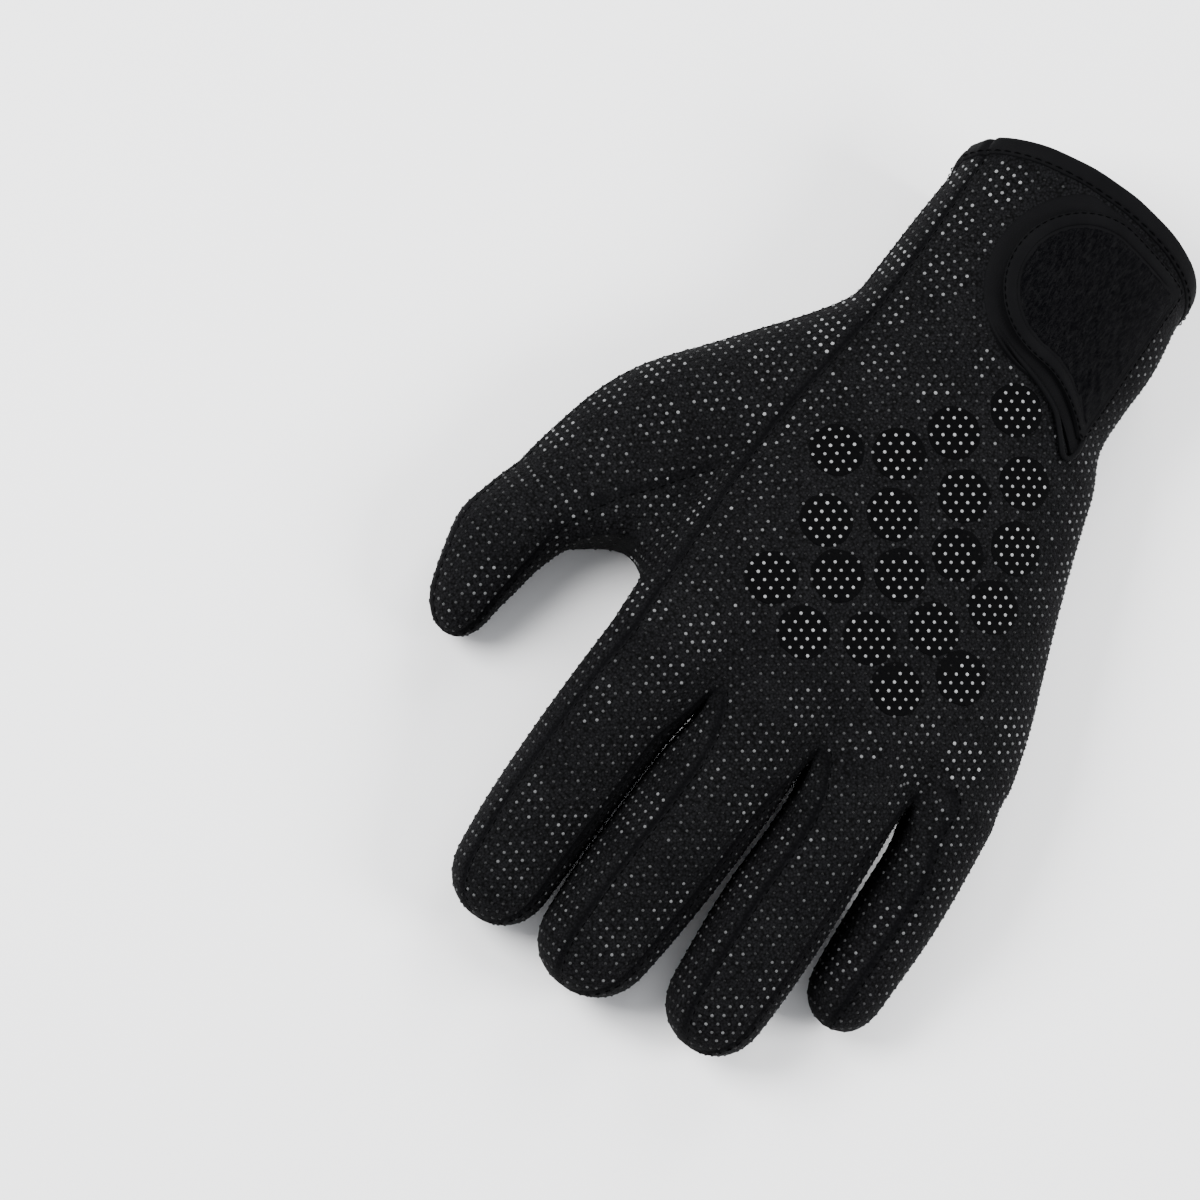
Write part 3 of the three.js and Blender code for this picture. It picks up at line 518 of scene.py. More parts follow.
        return ids[-1]

    def web(self, upper: int, lower: int, forward: float) -> Array:
        """Point numbers down a web between two lanes, from below its upper end.

        Args:
            upper: The upper end's point number.
            lower: The lower end's.
            forward: How far the web's middle stands forward.

        Returns:
            The points between the ends.
        """
        top, foot = self.at(np.array([upper, lower]))
        t = self.down_steps[1:, None]
        ids = self.add(top * (1 - t) + foot * t + np.array([0, forward, 0]) * np.sin(math.pi * t))
        self.forks.append(ids)
        return ids

    def finger(self, name: str, base: Array) -> None:
        """A finger from its root ring to its closed tip.

        A column at angle a is carried from the root ring, scaled with the finger, and settles
        into (x + across cos a, z + height sin a), turned to the finger's slope. The tip's rings
        shrink by (1 - (1 - q)^n)^(1/n) at the part q of the end's length from the tip.

        Args:
            name: The finger's name.
            base: Point numbers of the root ring.
        """
        table = FINGERS[name]
        root, tip = table.rows[0][0], table.rows[-1]
        end_length = 1.15 * tip[4]
        shaft_end = tip[0] - end_length
        shaft = np.linspace(root, shaft_end, round((shaft_end - root) / self.ring_step) + 1)[1:]
        q = (1 - np.arange(1, 15) / 15) ** 1.7
        y = np.concatenate([shaft, tip[0] - end_length * q])[:, None]
        end_scale = (1 - (1 - q) ** self.end_power) ** (1 / self.end_power)
        scale = np.concatenate([np.ones(len(shaft)), end_scale])[:, None]
        cut = 0.8 if name == "thumb" else 0.2
        around = self.columns((name,))
        start, seam, end, under, under_end = FINGER_ANGLES[name]
        degrees = [start, seam, end, under, under_end, start + 360]
        turn = np.radians(np.interp(around, [0, cut, 1, 2, 3, 4], degrees))
        row, first = table.read(y), table.read(np.array(root, float))
        slope = np.arctan(table.read(y + 1)["z"] - row["z"])
        rise = row["height"] * scale * np.sin(turn)
        ideal = np.stack([row["x"] + row["across"] * scale * np.cos(turn), y - rise * np.sin(slope),
                          row["z"] + rise * np.cos(slope)], -1)
        own = self.at(base)
        carried = np.stack([row["x"] + (own[:, 0] - first["x"]) * row["across"] / first["across"],
                            own[:, 1] + y - root,
                            row["z"] + (own[:, 2] - first["z"]) * row["height"] / first["height"]], -1)
        settle = ease((y - root) / self.settle_length)[..., None]
        points = carried * (1 - settle) + ideal * settle
        points[..., 2] = np.maximum(points[..., 2], 0)
        ids = self.add(points)
        grid = np.concatenate([base[None], ids])
        panels = panel_numbers(name, around)
        self.band(Tube(name, grid, around, 1), panels)
        self.close_tip(ids[-1], tip[0], panels)

    def close_tip(self, ring: Array, tip_y: float, panels: Array) -> None:
        """Closes a fingertip with a fan of cells from its last ring to the tip.

        Args:
            ring: The last ring's point numbers.
            tip_y: How far the tip reaches.
            panels: The panel of each column.
        """
        places = self.at(ring)
        middle = places.mean(0)
        tip = np.array([middle[0], tip_y, middle[2]])
        centre = self.add(tip[None])[0]
        half = (places + tip) / 2
        half[:, 1] = tip_y - (tip_y - places[:, 1]) * 0.25
        inner = self.add(half)
        self.quads.append(np.stack([ring, inner, np.roll(inner, -1), np.roll(ring, -1)], -1))
        self.quad_panels.append(panels)
        pairs = np.arange(0, len(ring) - 1, 2)
        after = inner[(pairs + 2) % len(ring)]
        self.quads.append(np.stack([inner[pairs], np.full(len(pairs), centre), after, inner[pairs + 1]], -1))
        self.quad_panels.append(panels[pairs])

    def build(self) -> "Skin":
        """Builds the whole skin and returns it."""
        last = self.split(self.sleeve(), 5)
        up, low = self.upper_cells, self.lower_cells
        fork = self.web(last["upper"][up], last["lower"][4 * low], 0)
        thumb_base = np.concatenate([last["upper"][:up + 1], fork, last["lower"][4 * low:], last["inner"]])
        self.finger("thumb", thumb_base)
        first = np.concatenate([last["upper"][up:], last["outer"], last["lower"][:4 * low + 1], fork[::-1]])
        end = self.split(self.palm(first), 4)
        inner = end["inner"]
        for k, name in enumerate(FINGER_NAMES[1:]):
            is_last = k == 3
            top, foot = end["upper"][(k + 1) * up], end["lower"][(3 - k) * low]
            outer = end["outer"] if is_last else self.web(top, foot, 1.0)
            lower = end["lower"][(3 - k) * low:(4 - k) * low + 1]
            self.finger(name, np.concatenate([end["upper"][k * up:(k + 1) * up + 1], outer, lower, inner]))
            inner = outer[::-1]
        return Skin(np.concatenate(self.points), np.concatenate(self.quads), np.concatenate(self.quad_panels),
                    self.tubes, np.concatenate(self.forks), self.wall)


@dataclass
class Skin:
    """The skin's points and cells, its normals, and the seams that cross it."""

    points: Array
    quads: Array
    quad_panels: Array
    tubes: dict[str, Tube]
    forks: Array
    wall: float
    fork_width: float = 8.0
    fork_passes: int = 30
    seam_depth: float = 0.6
    seam_width: float = 0.75
    shoulder_height: float = 0.18

    def __post_init__(self) -> None:
        """Rounds the forks off, presses the seams in and works out the normals."""
        self.round_forks()
        self.normals = self.point_normals()
        self.lines = [self.trace(chain) for chain in SEAM_CHAINS]
        self.seam_distance = self.distance_to(np.concatenate(self.lines))
        sunk = self.seam_depth * bell(self.seam_distance, self.seam_width)
        raised = self.shoulder_height * bell(self.seam_distance - 2.1, 0.9)
        self.points = self.points + self.normals * (raised - sunk)[:, None]
        self.points[:, 2] = np.maximum(self.points[:, 2], 0.0)

    def round_forks(self) -> None:
        """Moves points near the forks to the mean of their neighbours, again and again."""
        a = self.quads.ravel()
        b = np.roll(self.quads, -1, 1).ravel()
        ends, others = np.concatenate([a, b]), np.concatenate([b, a])
        total = len(self.points)
        near = np.min(np.linalg.norm(self.points[:, None] - self.points[self.forks][None], axis=-1), axis=1)
        weight = bell(near, self.fork_width)[:, None] * 0.6
        degree = np.bincount(ends, minlength=total)[:, None]
        for _ in range(self.fork_passes):
            mean = np.stack([np.bincount(ends, self.points[others, k], total) for k in range(3)], 1) / degree
            self.points = self.points + weight * (mean - self.points)

    def point_normals(self) -> Array:
        """Normals at the points: the cross products of the cells' diagonals, added up."""
        corners = self.points[self.quads]
        faces = np.cross(corners[:, 2] - corners[:, 0], corners[:, 3] - corners[:, 1])
        ids = self.quads.ravel()
        shared = np.repeat(faces, 4, axis=0)
        total = np.stack([np.bincount(ids, shared[:, k], len(self.points)) for k in range(3)], 1)
        return unit(total)

    def trace(self, chain: tuple[tuple[str, float, float], ...]) -> Array:
        """A line on the skin through places given as (tube, share of its length, place round it).

        Args:
            chain: The places, each pair joined in its own tube.

        Returns:
            Points along the line.
        """
        runs = []
        for (name, share, around), (following, far_share, far_around) in zip(chain, chain[1:]):
            if name != following:
                continue
            tube = self.tubes[name]
            steps = max(2, int(abs(far_share - share) * len(tube.grid) * 2.5))
            t = np.linspace(0, 1, steps)
            row = (share + (far_share - share) * t) * (len(tube.grid) - 1)
            column = np.interp(around + (far_around - around) * t, tube.around, np.arange(len(tube.around)))
            runs.append(self.sample(tube, row, column))
        return np.concatenate(runs)

    def sample(self, tube: Tube, row: Array, column: Array) -> Array:
        """Points between a tube's grid points, weighted by how near each of the four lies."""
        r = np.clip(row.astype(int), 0, len(tube.grid) - 2)
        c = column.astype(int) % len(tube.around)
        after = (c + 1) % len(tube.around)
        s, t = (row - r)[:, None], (column - np.floor(column))[:, None]
        grid = self.points[tube.grid]
        near = grid[r, c] * (1 - t) + grid[r, after] * t
        far = grid[r + 1, c] * (1 - t) + grid[r + 1, after] * t
        return near * (1 - s) + far * s

    def distance_to(self, line: Array) -> Array:
        """Distance from every point to the nearest of a line's points: |p|^2 + |q|^2 - 2 p.q."""
        line = line.astype(np.float32)
        points = self.points.astype(np.float32)
        best = np.empty(len(points), np.float32)
        size = (line**2).sum(1)
        for start in range(0, len(points), 4000):
            part = points[start:start + 4000]
            square = (part**2).sum(1)[:, None] + size[None] - 2 * part @ line.T
            best[start:start + 4000] = square.min(1)
        return np.sqrt(np.maximum(best, 0)).astype(float)

    def panel(self, panel: Panel) -> "Shell":
        """One panel as a closed shell: outer face, inner face a wall below, and its cut edge."""
        quads = self.quads[self.quad_panels == PANELS.index(panel)]
        used, flat = np.unique(quads, return_inverse=True)
        quads = flat.reshape(quads.shape)
        a, b = quads.ravel(), np.roll(quads, -1, 1).ravel()
        count = len(used)
        forward, back = a * count + b, b * count + a
        edge = ~np.isin(forward, back)
        a, b = a[edge], b[edge]
        outer, normals = self.points[used], self.normals[used]
        inner = outer - normals * self.wall
        inner[:, 2] = np.maximum(inner[:, 2], self.wall)
        faces = np.concatenate([quads, quads[:, ::-1] + count, np.stack([b, a, a + count, b + count], 1)])
        points = np.concatenate([outer, inner])
        normals = np.concatenate([normals, -normals])
        seam = np.concatenate([self.seam_distance[used], self.seam_distance[used]])
        return Shell(points, faces, normals, seam)

    def sections(self, tube: Tube, y: Array) -> Array:
        """Level cuts of a tube: at each y, where every column passes it.

        Args:
            tube: The tube.
            y: The places of the cuts.

        Returns:
            Points and normals, six numbers for each cut and column, not-a-number past an end.
        """
        grid = self.points[tube.grid]
        normals = self.normals[tube.grid]
        cuts = np.full((len(y), grid.shape[1], 6), np.nan)
        cuts[..., 1] = y[:, None]
        for column in range(grid.shape[1]):
            along = np.maximum.accumulate(grid[:, column, 1])
            for k, values in ((0, grid[:, column, 0]), (2, grid[:, column, 2]), (3, normals[:, column, 0]),
                              (4, normals[:, column, 1]), (5, normals[:, column, 2])):
                cuts[:, column, k] = np.interp(y, along, values, left=np.nan, right=np.nan)
        return cuts


@dataclass
class Shell:
    """A closed surface ready to become a mesh, with its normals and its seam distances."""

    points: Array
    faces: Array
    normals: Array | None = None
    seam: Array | None = None


# Sewn lines, through places given as tube, share of its length and place round it
SEAM_CHAINS = (
    (("sleeve", 0.0, 1.2), ("sleeve", 1.0, 1.2), ("palm", 0.0, 0.2), ("palm", 1.0, 0.2), ("index", 0.0, 0.2),
     ("index", 1.0, 0.2)),
    (("sleeve", 0.0, 0.0), ("sleeve", 1.0, 0.0), ("thumb", 0.0, 0.0), ("thumb", 1.0, 0.0)),
    (("sleeve", 0.82, 1.05), ("sleeve", 1.0, 0.66), ("thumb", 0.0, 0.66), ("thumb", 0.35, 0.8),
     ("thumb", 1.0, 0.8)),
    (("sleeve", 0.0, 5.0), ("sleeve", 1.0, 5.0), ("palm", 0.0, 4.0), ("palm", 1.0, 4.0)),
    (("middle", 0.0, 0.02), ("middle", 0.05, 0.13), ("middle", 0.12, 0.19), ("middle", 0.2, 0.2),
     ("middle", 1.0, 0.2)),
    (("ring", 0.0, 0.02), ("ring", 0.05, 0.13), ("ring", 0.12, 0.19), ("ring", 0.2, 0.2), ("ring", 1.0, 0.2)),
    (("palm", 0.78, 3.2), ("palm", 1.0, 3.3), ("little", 0.0, 0.3), ("little", 0.14, 0.21),
     ("little", 1.0, 0.2)),
    (("index", 0.0, 1.0), ("index", 1.0, 1.0)),
    (("middle", 0.0, 1.0), ("middle", 1.0, 1.0)),
    (("ring", 0.0, 1.0), ("ring", 1.0, 1.0)),
    (("little", 0.0, 1.0), ("little", 1.0, 1.0)),
)


@dataclass
class BackSurface:
    """The height of the back of the hand and wrist over a level grid, for what is laid on it."""

    skin: Skin
    step: float = 0.8
    x: Array = field(default_factory=lambda: np.arange(-60.0, 60.0, 0.8))
    y: Array = field(default_factory=lambda: np.arange(-124.4, 40.0, 0.8))

    def __post_init__(self) -> None:
        """Reads heights on the upper columns first across each ring, then along each x."""
        rows = []
        for name in ("sleeve", "palm"):
            tube = self.skin.tubes[name]
            start = int(np.searchsorted(tube.around, 0.35))
            end = int(np.searchsorted(tube.around, tube.lanes + 0.1))
            rings = self.skin.points[tube.grid[:, start:end]][:, ::-1]
            for ring in rings:
                x = np.maximum.accumulate(ring[:, 0])
                rows.append([np.interp(self.x, x, ring[:, 1]), np.interp(self.x, x, ring[:, 2])])
        rows = np.array(rows)
        self.height = np.empty((len(self.x), len(self.y)))
        for k in range(len(self.x)):
            along = np.maximum.accumulate(rows[:, 0, k])
            self.height[k] = np.interp(self.y, along, rows[:, 1, k])

    def read(self, grid: Array, x: Array, y: Array) -> Array:
        """A value between grid places, weighted by how near each of the four lies."""
        i = np.clip((x - self.x[0]) / self.step, 0, len(self.x) - 1.001)
        j = np.clip((y - self.y[0]) / self.step, 0, len(self.y) - 1.001)
        a, b = i.astype(int), j.astype(int)
        s, t = i - a, j - b
        near = grid[a, b] * (1 - t) + grid[a, b + 1] * t
        far = grid[a + 1, b] * (1 - t) + grid[a + 1, b + 1] * t
        return near * (1 - s) + far * s

    def at(self, x: Array, y: Array, lift: Array | float = 0.0) -> tuple[Array, Array]:
        """Points above places on the back, with the surface's normals.

        Args:
            x: Places across.
            y: Places along.
            lift: Heights above the skin.

        Returns:
            The points and the normals.
        """
        z = self.read(self.height, x, y)
        rise_x = (self.read(self.height, x + 1.2, y) - self.read(self.height, x - 1.2, y)) / 2.4
        rise_y = (self.read(self.height, x, y + 1.2) - self.read(self.height, x, y - 1.2)) / 2.4
        normals = unit(np.stack([-rise_x, -rise_y, np.ones_like(z)], -1))
        points = np.stack([x, y, z], -1) + normals * np.asarray(lift)[..., None]
        return points, normals


def linear(code: str) -> tuple[float, float, float, float]:
    """Turns an sRGB hex colour to linear light.

    Args:
        code: Six hex digits.

    Returns:
        Red, green, blue and an alpha of 1.
    """
    parts = [int(code[k:k + 2], 16) / 255 for k in (0, 2, 4)]
    red, green, blue = [p / 12.92 if p <= 0.04045 else ((p + 0.055) / 1.055) ** 2.4 for p in parts]
    return red, green, blue, 1.0


class Nodes:
    """The node tree of one material."""

    def __init__(self, name: str) -> None:
        """Makes the material and keeps its shader."""
        self.material = bpy.data.materials.new(name)
        self.material.use_nodes = True
        self.tree = self.material.node_tree
        self.shader = self.tree.nodes["Principled BSDF"]

    @cached_property
    def place(self) -> Socket:
        """Where patterns are read: the object's own place, in metres."""
        return self.add("ShaderNodeTexCoord").outputs["Object"]

    def add(self, kind: str, settings: dict[str, object] | None = None,
            inputs: dict[str, object] | None = None) -> bpy.types.Node:
        """Adds a node.

        Args:
            kind: The node's type.
            settings: Its own properties.
            inputs: Socket values, or sockets to link from, by name or number.

        Returns:
            The node.
        """
        node = self.tree.nodes.new(kind)
        for name, value in (settings or {}).items():
            setattr(node, name, value)
        self.feed(node, inputs or {})
        return node

    def feed(self, node: bpy.types.Node, inputs: dict[str, object]) -> None:
        """Sets or links a node's sockets.

        Args:
            node: The node.
            inputs: Socket values, or sockets to link from, by name or number.
        """
        for name, value in inputs.items():
            if isinstance(value, bpy.types.NodeSocket):
                self.tree.links.new(value, node.inputs[name])
            else:
                node.inputs[name].default_value = value

    def cells(self, size_mm: float) -> Socket:
        """Distances from the middles of scattered cells of one size."""
        inputs = {"Vector": self.place, "Scale": 1 / (size_mm * MM)}
        return self.add("ShaderNodeTexVoronoi", inputs=inputs).outputs["Distance"]

    def noise(self, size_mm: float, **sockets: object) -> Socket:
        """Cloudy noise of one size. Other sockets are given by name."""
        inputs = {"Vector": self.place, "Scale": 1 / (size_mm * MM), **sockets}
        return self.add("ShaderNodeTexNoise", inputs=inputs).outputs["Fac"]

    def blend(self, share: Socket, dark: str, light: str) -> Socket:
        """A colour between two, at a share from 0 to 1."""
        inputs = {0: share, 6: linear(dark), 7: linear(light)}
        return self.add("ShaderNodeMix", {"data_type": "RGBA"}, inputs).outputs[2]

    def ramp(self, value: Socket, source: Pair, target: Pair) -> Socket:
        """Numbers carried in a straight line from one range to another and held at its ends."""
        return self.add("ShaderNodeMapRange", inputs={
            "Value": value, "From Min": source[0], "From Max": source[1],
            "To Min": target[0], "To Max": target[1]}).outputs["Result"]

    def bump(self, height: Socket, strength: float, depth_mm: float) -> Socket:
        """Normals of a fine relief."""
        inputs = {"Strength": strength, "Distance": depth_mm * MM, "Height": height}
        return self.add("ShaderNodeBump", inputs=inputs).outputs["Normal"]


@dataclass(frozen=True)
class Finish:
    """A real surface, which makes its own material."""

    name: str
    roughness: float
    specular: float

    def make(self) -> bpy.types.Material:
        """Builds the material from the finish's constants and patterns."""
        n = Nodes(self.name)
        constants = {"Roughness": self.roughness, "Specular IOR Level": self.specular}
        n.feed(n.shader, {**constants, **self.patterns(n)})
        return n.material

    def patterns(self, n: Nodes) -> dict[str, object]:
        """What the finish links to its shader, by socket."""
        raise NotImplementedError


@dataclass(frozen=True)
class NeopreneKnit(Finish):
    """Nylon jersey laminated on neoprene: dull charcoal, a soft nap, and painted shade down in the seam
    grooves.
    """

    name: str = "neoprene_nylon_jersey"
    roughness: float = 0.85
    specular: float = 0.04
    shade: str = "040405"
    light: str = "0d0d0e"
    painted_seam_shade: str = "020203"
    loop_mm: float = 0.7
    nap_mm: float = 1 / 2.6
    patch_mm: float = 14.0
    relief_mm: float = 0.16

    def patterns(self, n: Nodes) -> dict[str, object]:
        """Loops of yarn as cells, pale in their middles, and slow changes of shade."""
        loops = n.cells(self.loop_mm)
        tone = n.blend(n.noise(self.patch_mm, Detail=3.0, Roughness=0.6), self.shade, self.light)
        speck = n.ramp(loops, (0.0, 0.8), (2.3, 0.25))
        grained = n.add("ShaderNodeMix", {"data_type": "RGBA", "blend_type": "MULTIPLY"}, {
            0: 1.0, 6: tone, 7: speck})
        # Painted shade: the seam attribute darkens the colour toward the middle of each seam groove.
        seam = n.add("ShaderNodeAttribute", {"attribute_name": "seam"})
        colour = n.add("ShaderNodeMix", {"data_type": "RGBA"}, {
            0: seam.outputs["Fac"], 6: grained.outputs[2], 7: linear(self.painted_seam_shade)})
        height = n.add("ShaderNodeMath", {"operation": "ADD"}, {0: loops, 1: n.noise(self.nap_mm)})
        relief = n.bump(height.outputs["Value"], 0.8, self.relief_mm)
        return {"Base Color": colour.outputs[2], "Normal": relief}


@dataclass(frozen=True)
class PrintedRubber(Finish):
    """Screen-printed silicone rubber: small shiny drops, pale where the print is thick, and on the fingers a
    painted highlight.
    """

    name: str = "printed_silicone_rubber"
    roughness: float = 0.4
    specular: float = 0.1
    dull: str = "060607"
    bright: str = "8a8b8c"
    dull_roughness: float = 0.5

    def patterns(self, n: Nodes) -> dict[str, object]:
        """The attribute shine, set drop by drop, mixes the two colours."""
        shine = n.add("ShaderNodeAttribute", {"attribute_name": "shine"}).outputs["Fac"]
        rough = n.ramp(shine, (0.0, 1.0), (self.dull_roughness, self.roughness))
        return {"Base Color": n.blend(shine, self.dull, self.bright), "Roughness": rough}


@dataclass(frozen=True)
class FlatPrint(Finish):
    """Flat black rubber print that fills the cloth: darker and a little smoother than the knit."""

    name: str = "flat_black_rubber_print"
    roughness: float = 0.75
    specular: float = 0.03
    high: str = "030303"
    low: str = "000001"
    weave_mm: float = 0.6
    relief_mm: float = 0.08

    def patterns(self, n: Nodes) -> dict[str, object]:
        """The cloth's loops show through as a faint relief."""
        loops = n.cells(self.weave_mm)
        return {"Base Color": n.blend(loops, self.high, self.low),
                "Normal": n.bump(loops, 0.35, self.relief_mm)}


@dataclass(frozen=True)
class StretchTape(Finish):
    """Knitted stretch tape and smooth lining cloth: fine even ribs, dull black."""

    name: str = "knitted_stretch_tape"
    roughness: float = 0.7
    specular: float = 0.035
    shade: str = "030304"
    light: str = "09090a"
    rib_mm: float = 0.5
    patch_mm: float = 25 / 3
    relief_mm: float = 0.08

    def patterns(self, n: Nodes) -> dict[str, object]:
        """A fine cell pattern for the knit and slow changes of shade."""
        tone = n.blend(n.noise(self.patch_mm, Detail=4.0), self.shade, self.light)
        return {"Base Color": tone, "Normal": n.bump(n.cells(self.rib_mm), 0.45, self.relief_mm)}


@dataclass(frozen=True)
class CreasedLeather(Finish):
    """Black synthetic leather, coated and creased: fine hair-like creases slanting across it, lighter on
    their ridges, partly a painted highlight.
    """

    name: str = "creased_synthetic_leather"
    roughness: float = 0.5
    specular: float = 0.02
    shade: str = "000001"
    light: str = "0c0c0d"
    crease_mm: float = 0.6
    crease_turn: float = 28.0
    stretch: float = 3.6
    pore_mm: float = 1 / 2.2
    patch_mm: float = 100 / 9
    relief_mm: float = 0.3

    def patterns(self, n: Nodes) -> dict[str, object]:
        """Creases are noise drawn out along a slanting line, over fine pores. The colour is lighter where the
        creases stand high: streaks of the leather's nap and a painted highlight on their ridges.
        """
        turned = n.add("ShaderNodeMapping", inputs={
            "Vector": n.place, "Rotation": (0.0, 0.0, math.radians(self.crease_turn)),
            "Scale": (1.0, 1.0 / self.stretch, 1.0)})
        creases = n.noise(self.crease_mm, Vector=turned.outputs["Vector"], Detail=6.0, Roughness=0.65,
                          Distortion=0.8)
        height = n.add("ShaderNodeMath", {"operation": "MULTIPLY_ADD"}, {
            0: n.cells(self.pore_mm), 1: 0.25, 2: creases})
        # Streaks of the nap and a painted highlight: lighter where the crease relief stands high.
        streaks_and_painted_highlight = n.ramp(creases, (0.42, 0.7), (0.0, 1.0))
        worn = n.ramp(n.noise(self.patch_mm), (0.3, 0.7), (self.roughness - 0.07, self.roughness + 0.1))
        return {"Base Color": n.blend(streaks_and_painted_highlight, self.shade, self.light), "Roughness": worn,
                "Normal": n.bump(height.outputs["Value"], 0.8, self.relief_mm)}


@dataclass(frozen=True)
class Thread(Finish):
    """Bonded polyester sewing thread, black and dull."""

    name: str = "polyester_thread"
    roughness: float = 0.8
    specular: float = 0.02
    shade: str = "000000"
    light: str = "020203"
    twist_mm: float = 1 / 0.9

    def patterns(self, n: Nodes) -> dict[str, object]:
        """A faint change of shade along the thread."""
        return {"Base Color": n.blend(n.noise(self.twist_mm), self.shade, self.light)}


@dataclass
class Workshop:
    """Makes finished pieces of meshes: places them, dresses them and fixes them to the glove."""

    origin: Array = field(default_factory=lambda: np.array([17.4599, 7.5653, 0.0]))
    materials: dict[str, bpy.types.Material] = field(default_factory=dict)

    def material(self, finish: Finish) -> bpy.types.Material:
        """The material of a finish, made once."""
        if finish.name not in self.materials:
            self.materials[finish.name] = finish.make()
        return self.materials[finish.name]

    def piece(self, name: str, shell: Shell, finish: Finish, slot: str, nodes: tuple[str, ...] = (),
              values: tuple[str, Array] | None = None) -> bpy.types.Object:
        """Makes one piece of a shell.

        Args:
            name: Its name.
            shell: Points in the form's millimetres, faces, and normals if it has its own.
            finish: Its finish.
            slot: Not used.
            nodes: The solids that it stands for.
            values: A named number for each point, for its material.

        Returns:
            The object.
        """
        mesh = bpy.data.meshes.new(name)
        faces = shell.faces
        size = faces.shape[1]
        mesh.vertices.add(len(shell.points))
        mesh.vertices.foreach_set("co", ((shell.points - self.origin) * MM).astype(np.float32).ravel())
        mesh.loops.add(faces.size)
        mesh.loops.foreach_set("vertex_index", faces.astype(np.int32).ravel())
        mesh.polygons.add(len(faces))
        mesh.polygons.foreach_set("loop_start", np.arange(0, faces.size, size, dtype=np.int32))
        mesh.update(calc_edges=True)
        mesh.validate()
        mesh.shade_smooth()
        if shell.normals is not None:
            mesh.normals_split_custom_set_from_vertices(unit(shell.normals).tolist())
        if values is not None:
            attribute = mesh.attributes.new(values[0], "FLOAT", "POINT")
            attribute.data.foreach_set("value", values[1].astype(np.float32))
        piece = bpy.data.objects.new(name, mesh)
        bpy.context.scene.collection.objects.link(piece)
        mesh.materials.append(self.material(finish))
        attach(piece, BODY)
        if nodes:
            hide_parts(*nodes)
        LOG.info("%s: %d points, %d faces", name, len(shell.points), len(faces))
        return piece


def along(path: Array) -> Array:
    """Distance walked to each point of a path."""
    steps = np.linalg.norm(np.diff(path, axis=0), axis=1)
    return np.concatenate([[0.0], np.cumsum(steps)])


def spaced(path: Array, step: float, start: float = 0.0) -> Array:
    """Points at even distances along a path of any number of columns.

    Args:
        path: Points, the first three columns a place.
        step: Distance between them.
        start: Distance to the first.

    Returns:
        The points.
    """
    walked = along(path[:, :3])
    at = np.arange(start, walked[-1], step)
    return np.stack([np.interp(at, walked, path[:, k]) for k in range(path.shape[1])], 1)


def tube_along(path: Array, normals: Array, radius: Array, flat: float, sides: int) -> Shell:
    """A cord along a path: circles of the radius, squashed by flat along the normal, ends closed.

    Args:
        path: The cord's centre line.
        normals: The surface's normals along it.
        radius: Its radius at each point.
        flat: Height over width.
        sides: Points round it.

    Returns:
        The shell.
    """
    ahead = unit(np.gradient(path, axis=0))
    side = unit(np.cross(ahead, normals))
    up = np.cross(side, ahead)
    turn = 2 * math.pi * np.arange(sides) / sides
    circle = side[:, None] * np.cos(turn)[:, None] + up[:, None] * (np.sin(turn) * flat)[:, None]
    rings = path[:, None] + radius[:, None, None] * circle
    return capped(rings, path[0], path[-1])


def woven(grid: Array, closed: bool) -> Shell:
    """Joins rings of points into a surface, each ring closed on itself.

    Args:
        grid: Rings of points.
        closed: Whether the last ring joins the first.

    Returns:
        The shell.
    """
    rows, columns = grid.shape[:2]
    ids = np.arange(rows * columns).reshape(rows, columns)
    near, far = (ids, np.roll(ids, -1, 0)) if closed else (ids[:-1], ids[1:])
    faces = np.stack([near, far, np.roll(far, -1, 1), np.roll(near, -1, 1)], -1).reshape(-1, 4)
    return Shell(grid.reshape(-1, 3), faces)


def capped(grid: Array, first: Array, last: Array) -> Shell:
    """Joins rings of an even number of points and closes both ends to a single point.

    Args:
        grid: Rings of points.
        first: The point before the first ring.
        last: The point after the last ring.

    Returns:
        The shell.
    """
    shell = woven(grid, closed=False)
    rows, columns = grid.shape[:2]
    even = np.arange(0, columns, 2)
    odd, after = even + 1, (even + 2) % columns
    end = (rows - 1) * columns
    start_pole = np.full(len(even), rows * columns)
    first_fan = np.stack([start_pole, even, odd, after], 1)
    last_fan = np.stack([end + even, start_pole + 1, end + after, end + odd], 1)
    points = np.concatenate([shell.points, first[None], last[None]])
    return Shell(points, np.concatenate([shell.faces, first_fan, last_fan]))


def scattered(points: Array, normals: Array, ahead: Array, template: Array, faces: Array,
              sizes: Array | None = None) -> Shell:
    """Copies of a small shape, each turned to its normal and direction.

    Args:
        points: Where each copy stands.
        normals: Its upright direction.
        ahead: Its long direction.
        template: The shape's points as (along, across, up) in millimetres.
        faces: The shape's faces.
        sizes: The scale of each copy, or none for 1.

    Returns:
        The shell of all copies.
    """
    side = unit(np.cross(normals, ahead))
    front = np.cross(side, normals)
    own = template[None] if sizes is None else template[None] * sizes[:, None, None]
    placed = (points[:, None] + own[..., 0, None] * front[:, None]
              + own[..., 1, None] * side[:, None] + own[..., 2, None] * normals[:, None])
    offsets = (np.arange(len(points)) * len(template))[:, None, None]
    return Shell(placed.reshape(-1, 3), (faces[None] + offsets).reshape(-1, faces.shape[1]))


def dome(radius: float, height: float, sides: int) -> tuple[Array, Array]:
    """A small dome: a foot ring just below the surface, a shoulder ring and a top."""
    turn = 2 * math.pi * np.arange(sides) / sides
    ring = np.stack([np.cos(turn), np.sin(turn), 0 * turn], 1)
    foot = ring * [radius, radius, 0] + [0, 0, -0.15 * height]
    shoulder = ring * [0.74 * radius, 0.74 * radius, 0] + [0, 0, 0.66 * height]
    k = np.arange(sides)
    after = (k + 1) % sides
    top = np.full(sides, 2 * sides)
    faces = [np.stack(corners, 1) for corners in (
        (k, after, sides + after), (k, sides + after, sides + k), (sides + k, sides + after, top))]
    return np.concatenate([foot, shoulder, [[0, 0, height]]]), np.concatenate(faces)


